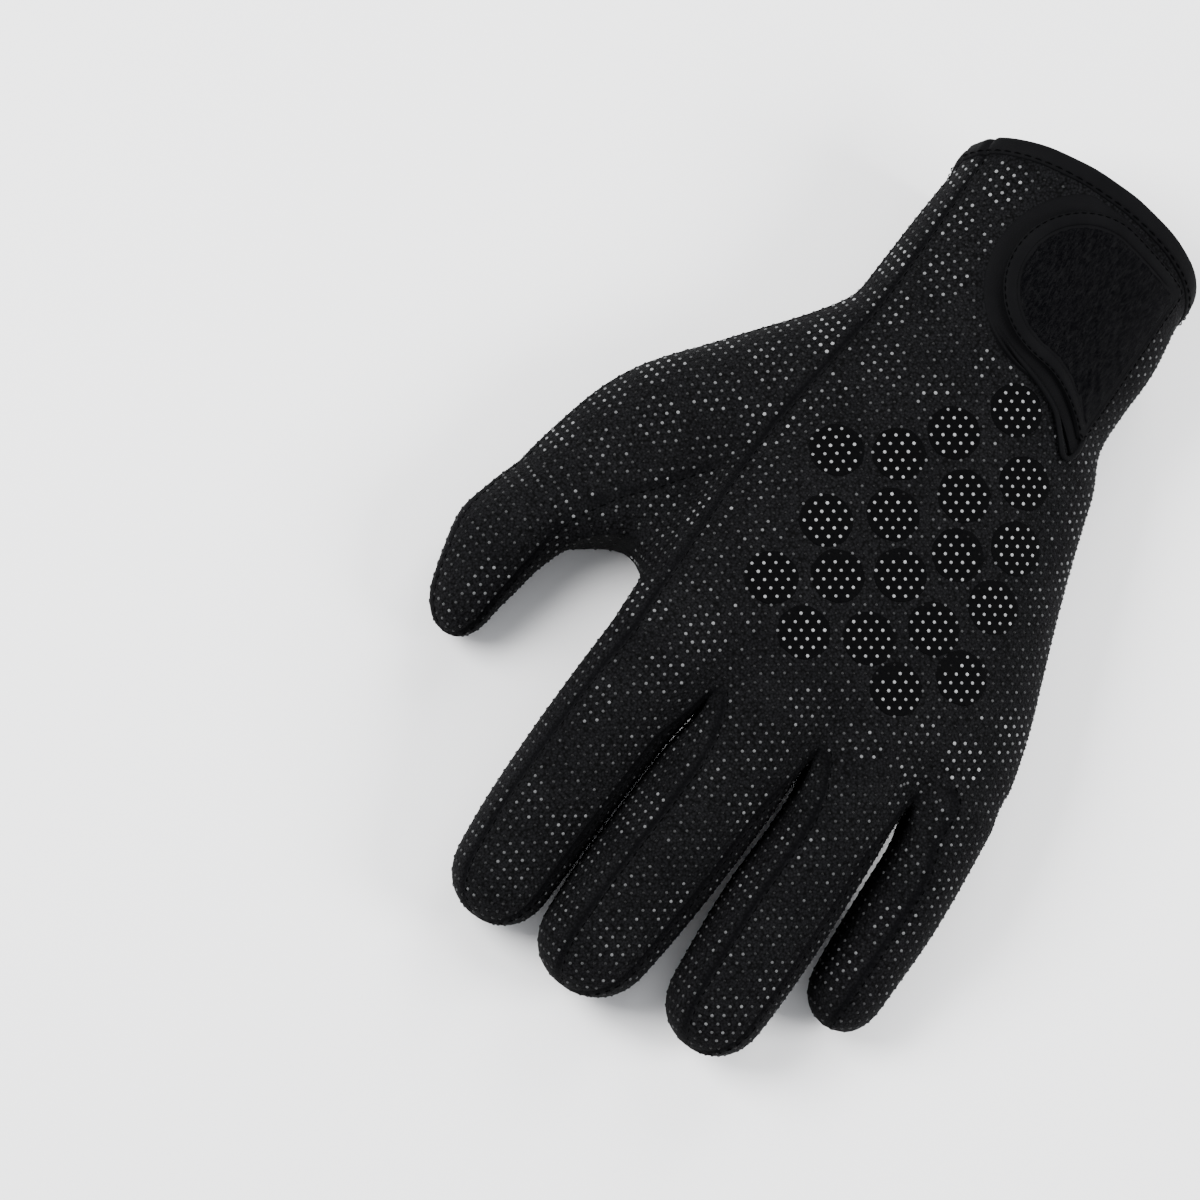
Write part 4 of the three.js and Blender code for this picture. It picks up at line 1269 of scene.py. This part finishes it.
def stitch(length: float, width: float, height: float) -> tuple[Array, Array]:
    """One stitch: a thread that rises out of the cloth, arches over and dives in again."""
    t = np.linspace(0, 1, 6)
    turn = 2 * math.pi * np.arange(6) / 6
    arch = height * np.sin(math.pi * t) - 0.12
    swell = 0.35 + 0.65 * np.sin(math.pi * t)
    middles = np.stack([(t - 0.5) * length, 0 * t, arch], 1)
    circle = np.stack([0 * turn, np.cos(turn), np.sin(turn)], 1)
    rings = middles[:, None] + width / 2 * swell[:, None, None] * circle
    shell = capped(rings, middles[0], middles[-1])
    return shell.points, shell.faces[:, ::-1]


# The wrist closure, in millimetres on the back of the glove
CLOSURE_MIDDLE = (-2.6, -92.6)
CLOSURE_SEAM_X = -23.6
CLOSURE_TAIL = 11.0
PAD_RADIUS = 27.0
TAB_RADIUS = 21.4
FACE_RADIUS = 17.9


def inside(outline: Array, x: Array, y: Array) -> Array:
    """Whether places lie in a closed outline: a line from each crosses its sides an odd number of times."""
    a, b = outline, np.roll(outline, -1, 0)
    crosses = (a[None, :, 1] > y[:, None]) != (b[None, :, 1] > y[:, None])
    rise = np.where(a[:, 1] == b[:, 1], 1.0, b[:, 1] - a[:, 1])
    at = a[None, :, 0] + (y[:, None] - a[None, :, 1]) / rise[None] * (b[:, 0] - a[:, 0])[None]
    return (np.sum(crosses & (x[:, None] < at), axis=1) % 2) == 1


def closure_outline(radius: float, seam_x: float, points: int = 200) -> Array:
    """Outline of a closure piece: a round end toward the thumb and straight sides to the seam.

    The upper side rises by t^2 toward the seam. The lower side keeps clear of the tape.

    Args:
        radius: Radius of the round end.
        seam_x: Where the piece ends at the seam.
        points: Points of the outline.

    Returns:
        Places (x, y), anticlockwise from the round end's foot.
    """
    x, y = CLOSURE_MIDDLE
    turn = np.linspace(-math.pi / 2, math.pi / 2, 90)
    end = np.stack([x + radius * np.cos(turn), y + radius * np.sin(turn)], 1)
    t = np.linspace(0, 1, 30)[1:]
    upper = np.stack([x + (seam_x - x) * t, y + radius + CLOSURE_TAIL * t**2], 1)
    side = np.stack([seam_x + 0 * t, y + radius + CLOSURE_TAIL - (1.86 * radius + CLOSURE_TAIL) * t], 1)
    lower = np.stack([seam_x + (x - seam_x) * t, y - radius * (0.86 + 0.14 * t)], 1)
    path = np.concatenate([end, upper, side, lower[:-1]])
    path[:, 1] = np.maximum(path[:, 1], np.maximum(-116.2, -111.6 - 0.2 * (path[:, 0] + 25)))
    looped = np.column_stack([np.concatenate([path, path[:1]]), np.zeros(len(path) + 1)])
    even = spaced(looped, along(looped)[-1] / points)[:points, :2]
    return rounded(even, 4)


def rounded(loop: Array, passes: int) -> Array:
    """A closed loop with its corners softened: each point moves to the mean of its neighbours."""
    for _ in range(passes):
        loop = (np.roll(loop, 1, 0) + 2 * loop + np.roll(loop, -1, 0)) / 4
    return loop


@dataclass
class KnitShell:
    """The three neoprene panels."""

    skin: Skin
    shop: Workshop
    finish: NeopreneKnit = NeopreneKnit()

    def build(self) -> None:
        """Makes each panel, with painted shade along its seam grooves as an attribute."""
        for panel in PANELS:
            shell = self.skin.panel(panel)
            # The seam value is painted shade, darkest in the middle of each seam groove.
            self.shop.piece(f"{panel.value}_skin", shell, self.finish, "neoprene", (panel.value,),
                            ("seam", 0.9 * bell(shell.seam, 0.85)))


@dataclass
class GripNubs:
    """Tiny rubber drops printed all over the knit, each column a third of a step up.

    Patches of thick print, round like the dots, shine more than what lies between them.
    """

    skin: Skin
    shop: Workshop
    finish: PrintedRubber = PrintedRubber()
    column_step: float = 2.6
    row_step: float = 2.86
    columns_in_turn: int = 3
    radius: float = 0.56
    height: float = 0.34
    sides: int = 7
    seam_clear: float = 1.15
    cuff_clear: float = 5.4
    patch_radius: float = 7.6
    patch_step: float = 17.6
    weakest: float = 0.04
    strongest: float = 0.54
    on_fingers: float = 0.46
    on_dots: float = 0.72
    beside_dots: float = 0.1
    dot_clear: float = 11.0
    sleeve_start: float = -126.0
    hand_start: float = 20.0
    middle_x: float = 5.0
    tape_side: Pair = (16.0, -100.0)
    worn_side: Pair = (-20.0, -66.0)

    def build(self) -> None:
        """Prints the drops on every tube of the skin, one piece for each panel."""
        sets = [self.on_tube(tube) for tube in self.skin.tubes.values()]
        points, normals, shine, panels = [np.concatenate(parts) for parts in zip(*sets)]
        template, faces = dome(self.radius, self.height, self.sides)
        for k, panel in enumerate(PANELS):
            own = panels == k
            ahead = np.broadcast_to([0.0, 1.0, 0.0], points[own].shape)
            sizes = 0.78 + 0.3 * shine[own]
            shell = scattered(points[own], normals[own], ahead, template, faces, sizes)
            value = np.repeat(shine[own], len(template))
            self.shop.piece(f"{panel.value}_nubs", shell, self.finish, "print", (), ("shine", value))

    def stations(self, tube: Tube) -> Array:
        """Places of the rows along a tube, at even distances on its upper surface."""
        start = self.sleeve_start if tube.name == "sleeve" else self.hand_start
        rise = self.row_step / self.columns_in_turn
        even = start - (start % rise)
        if tube.lanes > 1:
            last = self.skin.points[tube.grid[-1], 1].max()
            return even + rise * np.arange(int((last - start) / rise) + 3)
        column = int(np.searchsorted(tube.around, 0.6))
        line = self.skin.points[tube.grid[:, column]]
        walked = along(line[:, 1:])
        first = rise * math.ceil(line[0, 1] / rise)
        lead = np.arange(even, first, rise)
        at = np.interp(first, line[:, 1], walked)
        return np.concatenate([lead, np.interp(np.arange(at, walked[-1], rise), walked, line[:, 1])])

    def on_tube(self, tube: Tube) -> tuple[Array, Array, Array, Array]:
        """Drops on one tube, row by row at even distances round it.

        Args:
            tube: The tube.

        Returns:
            Their points, normals, shine and panel numbers.
        """
        y = self.stations(tube)
        cuts = self.skin.sections(tube, y)
        seam = self.skin.seam_distance[tube.grid]
        heights = self.skin.points[tube.grid][..., 1]
        found = []
        for k, ring in enumerate(cuts):
            valid = ~np.isnan(ring[:, 0])
            if valid.sum() < 3:
                continue
            anchor = self.anchor(tube, ring, valid)
            order = (np.arange(len(ring)) + anchor) % len(ring)
            order = order[valid[order]]
            path = ring[np.append(order, order[0])]
            walked = along(path[:, :3])
            total = walked[-1]
            step = self.columns_in_turn * self.column_step
            number = round(y[k] * self.columns_in_turn / self.row_step) if tube.lanes > 1 else k
            phase = (self.phase(tube, ring[anchor]) + number * self.column_step) % step
            first, last = -math.floor((total / 2 + phase) / step), math.floor((total / 2 - phase) / step)
            at = np.arange(first, last + 1) * step
            at = (at + phase) % total
            gap = np.diff(np.append(order, order[0] + len(ring))) % len(ring) == 1
            piece = np.clip(np.searchsorted(walked, at, side="right") - 1, 0, len(order) - 1)
            place = np.stack([np.interp(at, walked, path[:, c]) for c in range(6)], 1)
            column = order[piece]
            row = np.clip((heights[:, column] < y[k]).sum(0) - 1, 0, len(heights) - 1)
            near = seam[row, column]
            signed = np.where(at > total / 2, at - total, at)
            keep = gap[piece] & (near > self.seam_clear)
            found.append(np.column_stack([place, signed, tube.around[column], np.full(len(at), y[k])])[keep])
        data = np.concatenate(found)
        keep = self.allowed(data)
        data = data[keep]
        return data[:, :3], unit(data[:, 3:6]), self.shine(data, tube), panel_numbers(tube.name, data[:, 7])

    def anchor(self, tube: Tube, ring: Array, valid: Array) -> int:
        """The column that rows are counted from: over the middle finger, or a finger's top."""
        if tube.lanes == 1:
            return int(np.searchsorted(tube.around, 0.6))
        upper = (tube.around < tube.lanes) & valid
        return int(np.argmin(np.where(upper, np.abs(ring[:, 0] - self.middle_x), 1e9)))

    def phase(self, tube: Tube, point: Array) -> float:
        """Distance from the anchor column to the first drop, so that columns run straight on."""
        if tube.name == "thumb":
            return 0.0
        offset = self.middle_x if tube.lanes > 1 else 0.0
        return point[0] - offset if not math.isnan(point[0]) else 0.0

    def allowed(self, data: Array) -> Array:
        """Whether drops are clear of the tape, of the closure and of the floor."""
        x, y, z = data[:, 0], data[:, 1], data[:, 2]
        cuff = CUFF_Y - CUFF_LEAN * (z - CUFF_MIDDLE_Z) + self.cuff_clear
        on_pad = np.zeros(len(data), bool)
        top = data[:, 5] > 0.3
        outline = closure_outline(PAD_RADIUS + 1.2, CLOSURE_SEAM_X - 1.0)
        on_pad[top] = inside(outline, x[top], y[top])
        by_the_tape = top & (x < self.tape_side[0]) & (y < self.tape_side[1])
        return (y > cuff) & ~on_pad & ~by_the_tape & (z > 0.25)

    def shine(self, data: Array, tube: Tube) -> Array:
        """How pale each drop is: thick print in round patches on a staggered grid, and on the fingers a
        painted highlight.

        Patches lie at even distances round the glove and along it, every second row shifted
        by half. Each patch has its own strength, the printed dots have the most, the fingers
        the least, and each drop differs a little from the next. On the fingers, drops that face
        straight up or down are paler than those on the sides: a painted highlight.

        Args:
            data: The drops, with their distance round the tube and their row's place.
            tube: The tube that they lie on.

        Returns:
            One number from 0 to 1 for each drop.
        """
        across, y = data[:, 6], data[:, 8]
        row_height = self.patch_step * 0.87
        best, strength = np.full(len(data), 1e9), np.zeros(len(data))
        for shift in (0.0, 1.0):
            row = np.round((y / row_height - shift) / 2) * 2 + shift
            column = np.round(across / self.patch_step - shift / 2)
            middle = (column + shift / 2) * self.patch_step
            far = np.hypot(across - middle, y - row * row_height)
            own = self.weakest + (self.strongest - self.weakest) * np.modf(np.abs(
                np.sin(12.9898 * row + 78.233 * column + len(tube.name)) * 43758.5453))[0]
            strength = np.where(far < best, own, strength)
            best = np.minimum(best, far)
        if tube.lanes == 1:
            # Painted highlight: finger drops that face straight up or down are paler, those on the sides
            # darker.
            strength *= self.on_fingers * ease((np.abs(unit(data[:, 3:6])[:, 2]) - 0.25) / 0.3)
        worn = (data[:, 0] < self.worn_side[0]) & (data[:, 1] < self.worn_side[1])
        strength = np.where(worn, 0.4 * strength, strength)
        for x, place in GRIP_DOTS:
            far = np.hypot(data[:, 0] - x, data[:, 1] - place)
            strength = np.where(far < self.dot_clear, self.beside_dots, strength)
            strength = np.where(far < self.patch_radius, self.on_dots, strength)
            best = np.where(far < self.dot_clear, far, best)
        chance = np.random.default_rng(SEED + len(data)).random(len(data))
        patch = 1 - ease((best - self.patch_radius + 1.6) / 2.2)
        varied = np.where(strength == self.on_dots, 0.75 + 0.3 * chance, 0.3 + 0.9 * chance)
        return np.clip(strength * patch * varied + 0.14 * chance**4, 0, 1)


@dataclass
class PrintedDots:
    """The round black dots printed on the back of the hand."""

    back: BackSurface
    shop: Workshop
    finish: FlatPrint = FlatPrint()
    radius: float = 7.4
    thickness: float = 0.13
    sides: int = 56

    def build(self) -> None:
        """Makes each dot: a disc on the skin whose edge wavers a little and rolls down."""
        share = np.array([0.25, 0.5, 0.75, 0.92, 0.98, 1.0])
        lift = self.thickness * np.array([1.0, 1.0, 1.0, 1.0, 0.8, -1.2])
        turn = 2 * math.pi * np.arange(self.sides) / self.sides
        for k, (x, y) in enumerate(GRIP_DOTS):
            waver = 1 + 0.012 * np.cos(6 * turn + k) + 0.008 * np.cos(11 * turn + 2.3 * k)
            reach = self.radius * share[:, None] * waver[None]
            top, _ = self.back.at(x + reach * np.cos(turn), y + reach * np.sin(turn), lift[:, None])
            under, _ = self.back.at(x + reach[::-1] * np.cos(turn), y + reach[::-1] * np.sin(turn),
                                    -0.35 + 0 * reach)
            name = f"grip_dot_{k + 1:02d}"
            middle = top[0].mean(0)
            shell = capped(np.concatenate([top, under]), middle, under[-1].mean(0))
            self.shop.piece(f"{name}_print", shell, self.finish, "print", (name,))


@dataclass
class CuffTape:
    """Stretch tape folded over the cut edge of the opening, with one row of stitches."""

    skin: Skin
    shop: Workshop
    finish: StretchTape = StretchTape()
    thread: Thread = Thread()
    depth: float = 4.5
    thickness: float = 0.95
    sides: int = 44
    squareness: float = 4.0
    stitch_row: float = 3.5
    stitch_step: float = 3.1

    def frames(self) -> tuple[Array, Array, Array]:
        """Points of the edge, the way out and the way up the sleeve, from the first rings."""
        grid = self.skin.tubes["sleeve"].grid
        edge = self.skin.points[grid[0]]
        up = unit(self.skin.points[grid[3]] - edge)
        out = self.skin.normals[grid[1]]
        out = unit(out - up * np.sum(out * up, axis=1, keepdims=True))
        return edge, out, up

    def build(self) -> None:
        """Sweeps a rounded section round the edge: a superellipse about the wall's cut."""
        edge, out, up = self.frames()
        wall = self.skin.wall
        turn = 2 * math.pi * np.arange(self.sides) / self.sides
        power = 2 / self.squareness
        across = np.sign(np.cos(turn)) * np.abs(np.cos(turn)) ** power * (wall / 2 + self.thickness)
        length = (self.depth + self.thickness + 0.2) / 2
        upward = np.sign(np.sin(turn)) * np.abs(np.sin(turn)) ** power * length + self.depth - length
        groove = 0.22 * bell(upward - self.stitch_row, 0.5) * (across > 0)
        walked = along(edge)
        waver = 0.12 * np.sin(walked / 3.1) * np.sin(walked / 7.7)
        middle = -wall / 2
        places = (edge[:, None] + out[:, None] * (middle + across - groove)[None, :, None]
                  + up[:, None] * (upward[None, :] + waver[:, None])[..., None])
        places[..., 2] = np.maximum(places[..., 2], 0.0)
        shell = woven(places, closed=True)
        self.shop.piece("cuff_binding_tape", shell, self.finish, "tape", ("cuff_binding",))
        row = edge + out * (self.thickness - 0.08) + up * self.stitch_row
        path = spaced(np.column_stack([row, out]), self.stitch_step)
        ahead = unit(np.roll(path[:, :3], -1, 0) - np.roll(path[:, :3], 1, 0))
        template, faces = stitch(2.1, 0.42, 0.3)
        stitches = scattered(path[1:-1, :3], unit(path[1:-1, 3:]), ahead[1:-1], template, faces)
        self.shop.piece("cuff_binding_stitches", stitches, self.thread, "tape")


# How far out each ring of the pad and of the tab lies, and its share of the full height
PAD_RINGS = np.array([
    (0.15, 1.0), (0.3, 1.0), (0.6, 1.0), (0.78, 1.0), (0.88, 1.0), (0.93, 0.9), (0.95, 0.85), (0.965, 0.75),
    (0.975, 0.65), (0.985, 0.5), (1.0, 0.0), (1.005, -0.6)])
TAB_RINGS = np.array([
    (0.2, 1.0), (0.4, 1.0), (0.7, 1.0), (0.9, 1.0), (0.95, 1.0), (0.975, 0.92), (0.99, 0.75), (1.0, 0.45),
    (1.004, 0.0)])

# Course of the piped loop at the slit's end
TAIL_KNOTS = np.array([
    (12.0, -72.0), (4.0, -68.4), (-6.0, -66.0), (-14.0, -62.8), (-19.5, -56.8), (-22.2, -53.6),
    (-24.3, -54.4), (-25.0, -58.5), (-24.2, -63.0), (-21.0, -67.0)])


@dataclass
class WristClosure:
    """The closure on the back of the wrist: a smooth pad, a padded tab and its leather face."""

    back: BackSurface
    shop: Workshop
    tape: StretchTape = StretchTape()
    leather: CreasedLeather = CreasedLeather()
    thread: Thread = Thread()
    middle: Pair = (-6.0, -92.0)
    pad_height: float = 0.7
    pad_sink: float = 0.2
    tab_gap: float = 0.3
    tab_height: float = 1.1
    rim_sides: int = 26
    rim_up: float = 0.75
    rim_down: float = 1.2
    groove_at: float = 0.86
    groove_depth: float = 0.35
    stitch_step: float = 2.2
    crown: float = 0.6
    tucked_from: float = 0.93
    fold_turn: float = 0.6
    tail_radius: float = 0.8

    def laid(self, outline: Array, shares: Array, lift: Array) -> Shell:
        """A closed piece laid on the back: rings of its outline drawn in toward its middle.

        Args:
            outline: The outline.
            shares: How far out each ring lies, from the middle.
            lift: Height of each ring, or of each ring's points, above the skin.

        Returns:
            The shell.
        """
        middle = np.array(self.middle)
        rings = middle + shares[:, None, None] * (outline - middle)[None]
        lift = np.broadcast_to(lift.reshape(len(shares), -1), rings.shape[:2])
        top, _ = self.back.at(rings[..., 0], rings[..., 1], lift)
        base = rings[::-1]
        under, _ = self.back.at(base[..., 0], base[..., 1], np.full(base.shape[:2], -0.5))
        return capped(np.concatenate([top, under]), top[0].mean(0), under[-1].mean(0))

    def build(self) -> None:
        """Builds the closure from the pad up."""
        self.pad()
        self.tab()
        self.rim()
        self.face()
        self.tail()

    def pad(self) -> None:
        """The pad: thin, with a rolled edge along its upper side that fades toward the thumb."""
        outline = closure_outline(PAD_RADIUS, CLOSURE_SEAM_X - 1.2)
        shares, edge = PAD_RINGS.T
        roll = ease((outline[:, 1] + 78) / 10) * ease((18 - outline[:, 0]) / 12)
        inward = bell(shares - 0.975, 0.016)[:, None] * roll[None] * 0.9
        lift = self.pad_height * edge[:, None] - self.pad_sink + inward
        self.shop.piece("loop_pad_cloth", self.laid(outline, shares, lift), self.tape, "tape", ("loop_pad",))

    def tab(self) -> None:
        """The tab's body, with a rounded edge."""
        outline = closure_outline(TAB_RADIUS, CLOSURE_SEAM_X)
        shares, edge = TAB_RINGS.T
        lift = self.pad_height + self.tab_gap + self.tab_height * edge
        shell = self.laid(outline, shares, lift)
        self.shop.piece("closure_tab_body", shell, self.tape, "tape", ("closure_tab",))

    def rim(self) -> None:
        """The binding round the tab: a soft roll with a row of stitches near its outer edge."""
        outer = closure_outline(TAB_RADIUS + 0.4, CLOSURE_SEAM_X - 0.3)
        inner = closure_outline(FACE_RADIUS + 0.2, CLOSURE_SEAM_X + 0.5)
        turn = 2 * math.pi * np.arange(self.rim_sides) / self.rim_sides
        across = 0.5 + 0.5 * np.cos(turn)
        base = self.pad_height + self.tab_height + 0.1
        swell = np.sign(np.sin(turn)) * np.abs(np.sin(turn)) ** 0.75
        groove = self.groove_depth * bell(across - self.groove_at, 0.05) * (swell > 0)
        lift = base + np.where(swell > 0, self.rim_up, self.rim_down) * swell - groove
        places = inner[:, None] * (1 - across)[None, :, None] + outer[:, None] * across[None, :, None]
        walked = along(np.column_stack([outer, 0 * outer[:, 0]]))
        pucker = 1 + 0.05 * np.sin(walked / 1.05) + 0.05 * np.sin(walked / 2.9)
        low = 0.4 + 0.6 * ease((outer[:, 0] - CLOSURE_SEAM_X - 1.5) / 3)
        height = base + (lift - base)[None] * (pucker * low)[:, None]
        grid, _ = self.back.at(places[..., 0], places[..., 1], height)
        self.shop.piece("tab_binding_roll", woven(grid, closed=True), self.tape, "tape", ("tab_binding",))
        line = inner * (1 - self.groove_at) + outer * self.groove_at
        self.stitches("tab_binding_stitches", line, base + 0.42, self.stitch_step)

    def face(self) -> None:
        """The leather face: slightly crowned, its edge tucked under the binding."""
        outline = closure_outline(FACE_RADIUS + 0.7, CLOSURE_SEAM_X + 0.3)
        shares = np.concatenate([np.linspace(0.06, 0.8, 14), [0.86, 0.9, 0.93, 0.96, 0.98, 1.0]])
        crown = self.crown * (1 - shares**2.5) + 0.15
        tuck = np.maximum(shares - self.tucked_from, 0.0) / (1 - self.tucked_from)
        lift = self.pad_height + self.tab_height + 0.2 + crown - tuck
        middle = np.array(self.middle)
        rings = middle + shares[:, None, None] * (outline - middle)[None]
        slant = rings[..., 0] * math.cos(self.fold_turn) + rings[..., 1] * math.sin(self.fold_turn)
        folds = (0.10 * np.sin(slant * 1.9 + 1.3 * np.sin(rings[..., 1] * 0.31))
                 + 0.07 * np.sin(slant * 3.3 + 2.1 * np.sin(rings[..., 0] * 0.23 + 1.0)))
        shell = self.laid(outline, shares, lift[:, None] + folds * (shares < 0.95)[:, None])
        self.shop.piece("tab_face_leather", shell, self.leather, "tab_leather", ("tab_face",))

    def tail(self) -> None:
        """The piped loop at the slit's end, where the tab's upper edge runs into the seam."""
        numbers = np.arange(len(TAIL_KNOTS))
        t = np.linspace(0, numbers[-1], 90)
        smooth = np.stack([np.interp(t, numbers, TAIL_KNOTS[:, k]) for k in range(2)], 1)
        for _ in range(14):
            smooth[1:-1] = (smooth[:-2] + 2 * smooth[1:-1] + smooth[2:]) / 4
        path, normals = self.back.at(smooth[:, 0], smooth[:, 1], np.full(len(smooth), self.pad_height + 0.35))
        radius = self.tail_radius * ease(np.linspace(0, 5, len(path))) * ease(np.linspace(12, 0, len(path)))
        shell = tube_along(path, normals, np.maximum(radius, 0.05), 0.9, 14)
        self.shop.piece("closure_tail_piping", shell, self.tape, "tape")

    def stitches(self, name: str, outline: Array, lift: float, step: float) -> None:
        """A row of stitches along an outline at one height above the skin.

        Args:
            name: Its name.
            outline: The outline.
            lift: The height.
            step: Distance from one stitch to the next.
        """
        points, normals = self.back.at(outline[:, 0], outline[:, 1], np.full(len(outline), lift))
        loop = np.column_stack([points, normals])
        path = spaced(np.concatenate([loop, loop[:1]]), step)
        ahead = unit(np.roll(path[:, :3], -1, 0) - np.roll(path[:, :3], 1, 0))
        template, faces = stitch(step * 0.7, 0.36, 0.22)
        shell = scattered(path[:, :3], unit(path[:, 3:]), ahead, template, faces)
        self.shop.piece(name, shell, self.thread, "tape")


@dataclass
class SeamStitches:
    """Fine stitches beside the sewn lines that run over the hand and the fingers."""

    skin: Skin
    shop: Workshop
    thread: Thread = Thread()
    step: float = 2.9
    beside: float = 1.35

    def build(self) -> None:
        """Lays a row of stitches beside each line, on the skin."""
        points, normals, ahead = [], [], []
        for line in self.skin.lines:
            path = spaced(line, self.step, 1.0)
            forward = unit(np.gradient(path, axis=0))
            nearest = self.nearest(path)
            normal = self.skin.normals[nearest]
            side = unit(np.cross(normal, forward))
            beside = path + side * self.beside
            own = self.nearest(beside)
            flat = np.sum((self.skin.points[own] - beside) * normal, axis=1, keepdims=True)
            points.append(beside + normal * (flat + 0.02))
            normals.append(normal)
            ahead.append(forward)
        template, faces = stitch(1.7, 0.3, 0.22)
        places = [np.concatenate(parts) for parts in (points, normals, ahead)]
        shell = scattered(*places, template, faces)
        self.shop.piece("panel_seam_stitches", shell, self.thread, "neoprene")

    def nearest(self, places: Array) -> Array:
        """Numbers of the skin points nearest to places."""
        best = np.empty(len(places), int)
        size = (self.skin.points**2).sum(1)
        for start in range(0, len(places), 200):
            part = places[start:start + 200]
            best[start:start + 200] = np.argmin(size[None] - 2 * part @ self.skin.points.T, axis=1)
        return best


@dataclass
class Studio:
    """Floor, soft light and camera."""

    distance: float = 6.0
    turn_degrees: float = 33.9
    lean_degrees: float = 16.6
    side_degrees: float = 12.0
    aim: tuple[float, float, float] = (0.0402, 0.0403, 0.025)
    view_width: float = 0.3190
    sensor_mm: float = 36.0

    def build(self) -> None:
        """Builds the studio."""
        self.floor()
        self.camera()
        self.lights()

    def floor(self) -> None:
        """A wide pale floor with a fine matt surface."""
        n = Nodes("matt_white_card")
        place = n.add("ShaderNodeTexCoord").outputs["Object"]
        noise = n.add("ShaderNodeTexNoise", inputs={"Vector": place, "Scale": 3.0})
        shade = n.add("ShaderNodeMix", {"data_type": "RGBA"}, {
            0: noise.outputs["Fac"], 6: linear("f8f8f9"), 7: linear("fbfbfb")})
        n.feed(n.shader, {"Base Color": shade.outputs[2], "Roughness": 0.9})
        mesh = bpy.data.meshes.new("floor")
        reach = 6.0
        corners = [(-reach, -reach, 0), (reach, -reach, 0), (reach, reach, 0), (-reach, reach, 0)]
        mesh.from_pydata(corners, [], [(0, 1, 2, 3)])
        floor = bpy.data.objects.new("floor", mesh)
        floor.location.z = -0.0002
        mesh.materials.append(n.material)
        bpy.context.scene.collection.objects.link(floor)

    def axes(self) -> tuple[Vector, Vector, Vector]:
        """The camera's right, up and back, from its lean off the upright and its turn."""
        lean, side = math.radians(self.lean_degrees), math.radians(self.side_degrees)
        back = Vector((math.sin(lean) * math.sin(side), math.sin(lean) * math.cos(side), math.cos(lean)))
        across = Vector((back.z, 0, -back.x)).normalized()
        upward = back.cross(across)
        turn = math.radians(self.turn_degrees)
        right = -math.cos(turn) * across - math.sin(turn) * upward
        return right, back.cross(right), back

    def camera(self) -> None:
        """A long lens, at the glove's side of a level view turned with the hand."""
        right, up, back = self.axes()
        data = bpy.data.cameras.new("camera")
        data.sensor_width = self.sensor_mm
        data.sensor_fit = "HORIZONTAL"
        data.lens = self.sensor_mm * self.distance / self.view_width
        data.clip_start, data.clip_end = 0.05, 30.0
        camera = bpy.data.objects.new("camera", data)
        place = Vector(self.aim) + back * self.distance
        turned = Matrix((right, up, back)).transposed().to_4x4()
        camera.matrix_world = Matrix.Translation(place) @ turned
        bpy.context.scene.collection.objects.link(camera)
        bpy.context.scene.camera = camera

    def lights(self) -> None:
        """A pale sky, a large soft box over the fingers' side and weaker ones at the edges."""
        world = bpy.data.worlds.new("pale_sky")
        world.use_nodes = True
        sky = world.node_tree.nodes["Background"]
        sky.inputs["Color"].default_value = linear("f4f6fa")
        sky.inputs["Strength"].default_value = 0.9
        bpy.context.scene.world = world
        self.soft_box("key", (0.95, 0.35, 1.0), 0.7, 44.0)
        self.soft_box("fill", (-1.0, -0.3, 0.8), 0.6, 26.0)
        self.soft_box("edge", (0.2, -1.1, 0.8), 0.6, 14.0)

    def soft_box(self, name: str, place: tuple[float, float, float], size: float, power: float) -> None:
        """A square light aimed at the glove."""
        data = bpy.data.lights.new(name, "AREA")
        data.shape, data.size, data.energy = "SQUARE", size, power
        light = bpy.data.objects.new(name, data)
        light.location = place
        light.rotation_euler = (Vector((0, 0, 0.02)) - Vector(place)).to_track_quat("-Z", "Y").to_euler()
        bpy.context.scene.collection.objects.link(light)


def main() -> None:
    """Builds the glove and its studio."""
    logging.basicConfig(level=logging.INFO, format="%(message)s")
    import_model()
    shop = Workshop()
    Studio().build()
    skin = HandForm().build()
    back = BackSurface(skin)
    KnitShell(skin, shop).build()
    GripNubs(skin, shop).build()
    PrintedDots(back, shop).build()
    CuffTape(skin, shop).build()
    WristClosure(back, shop).build()
    SeamStitches(skin, shop).build()


if __name__ == "__main__":
    main()
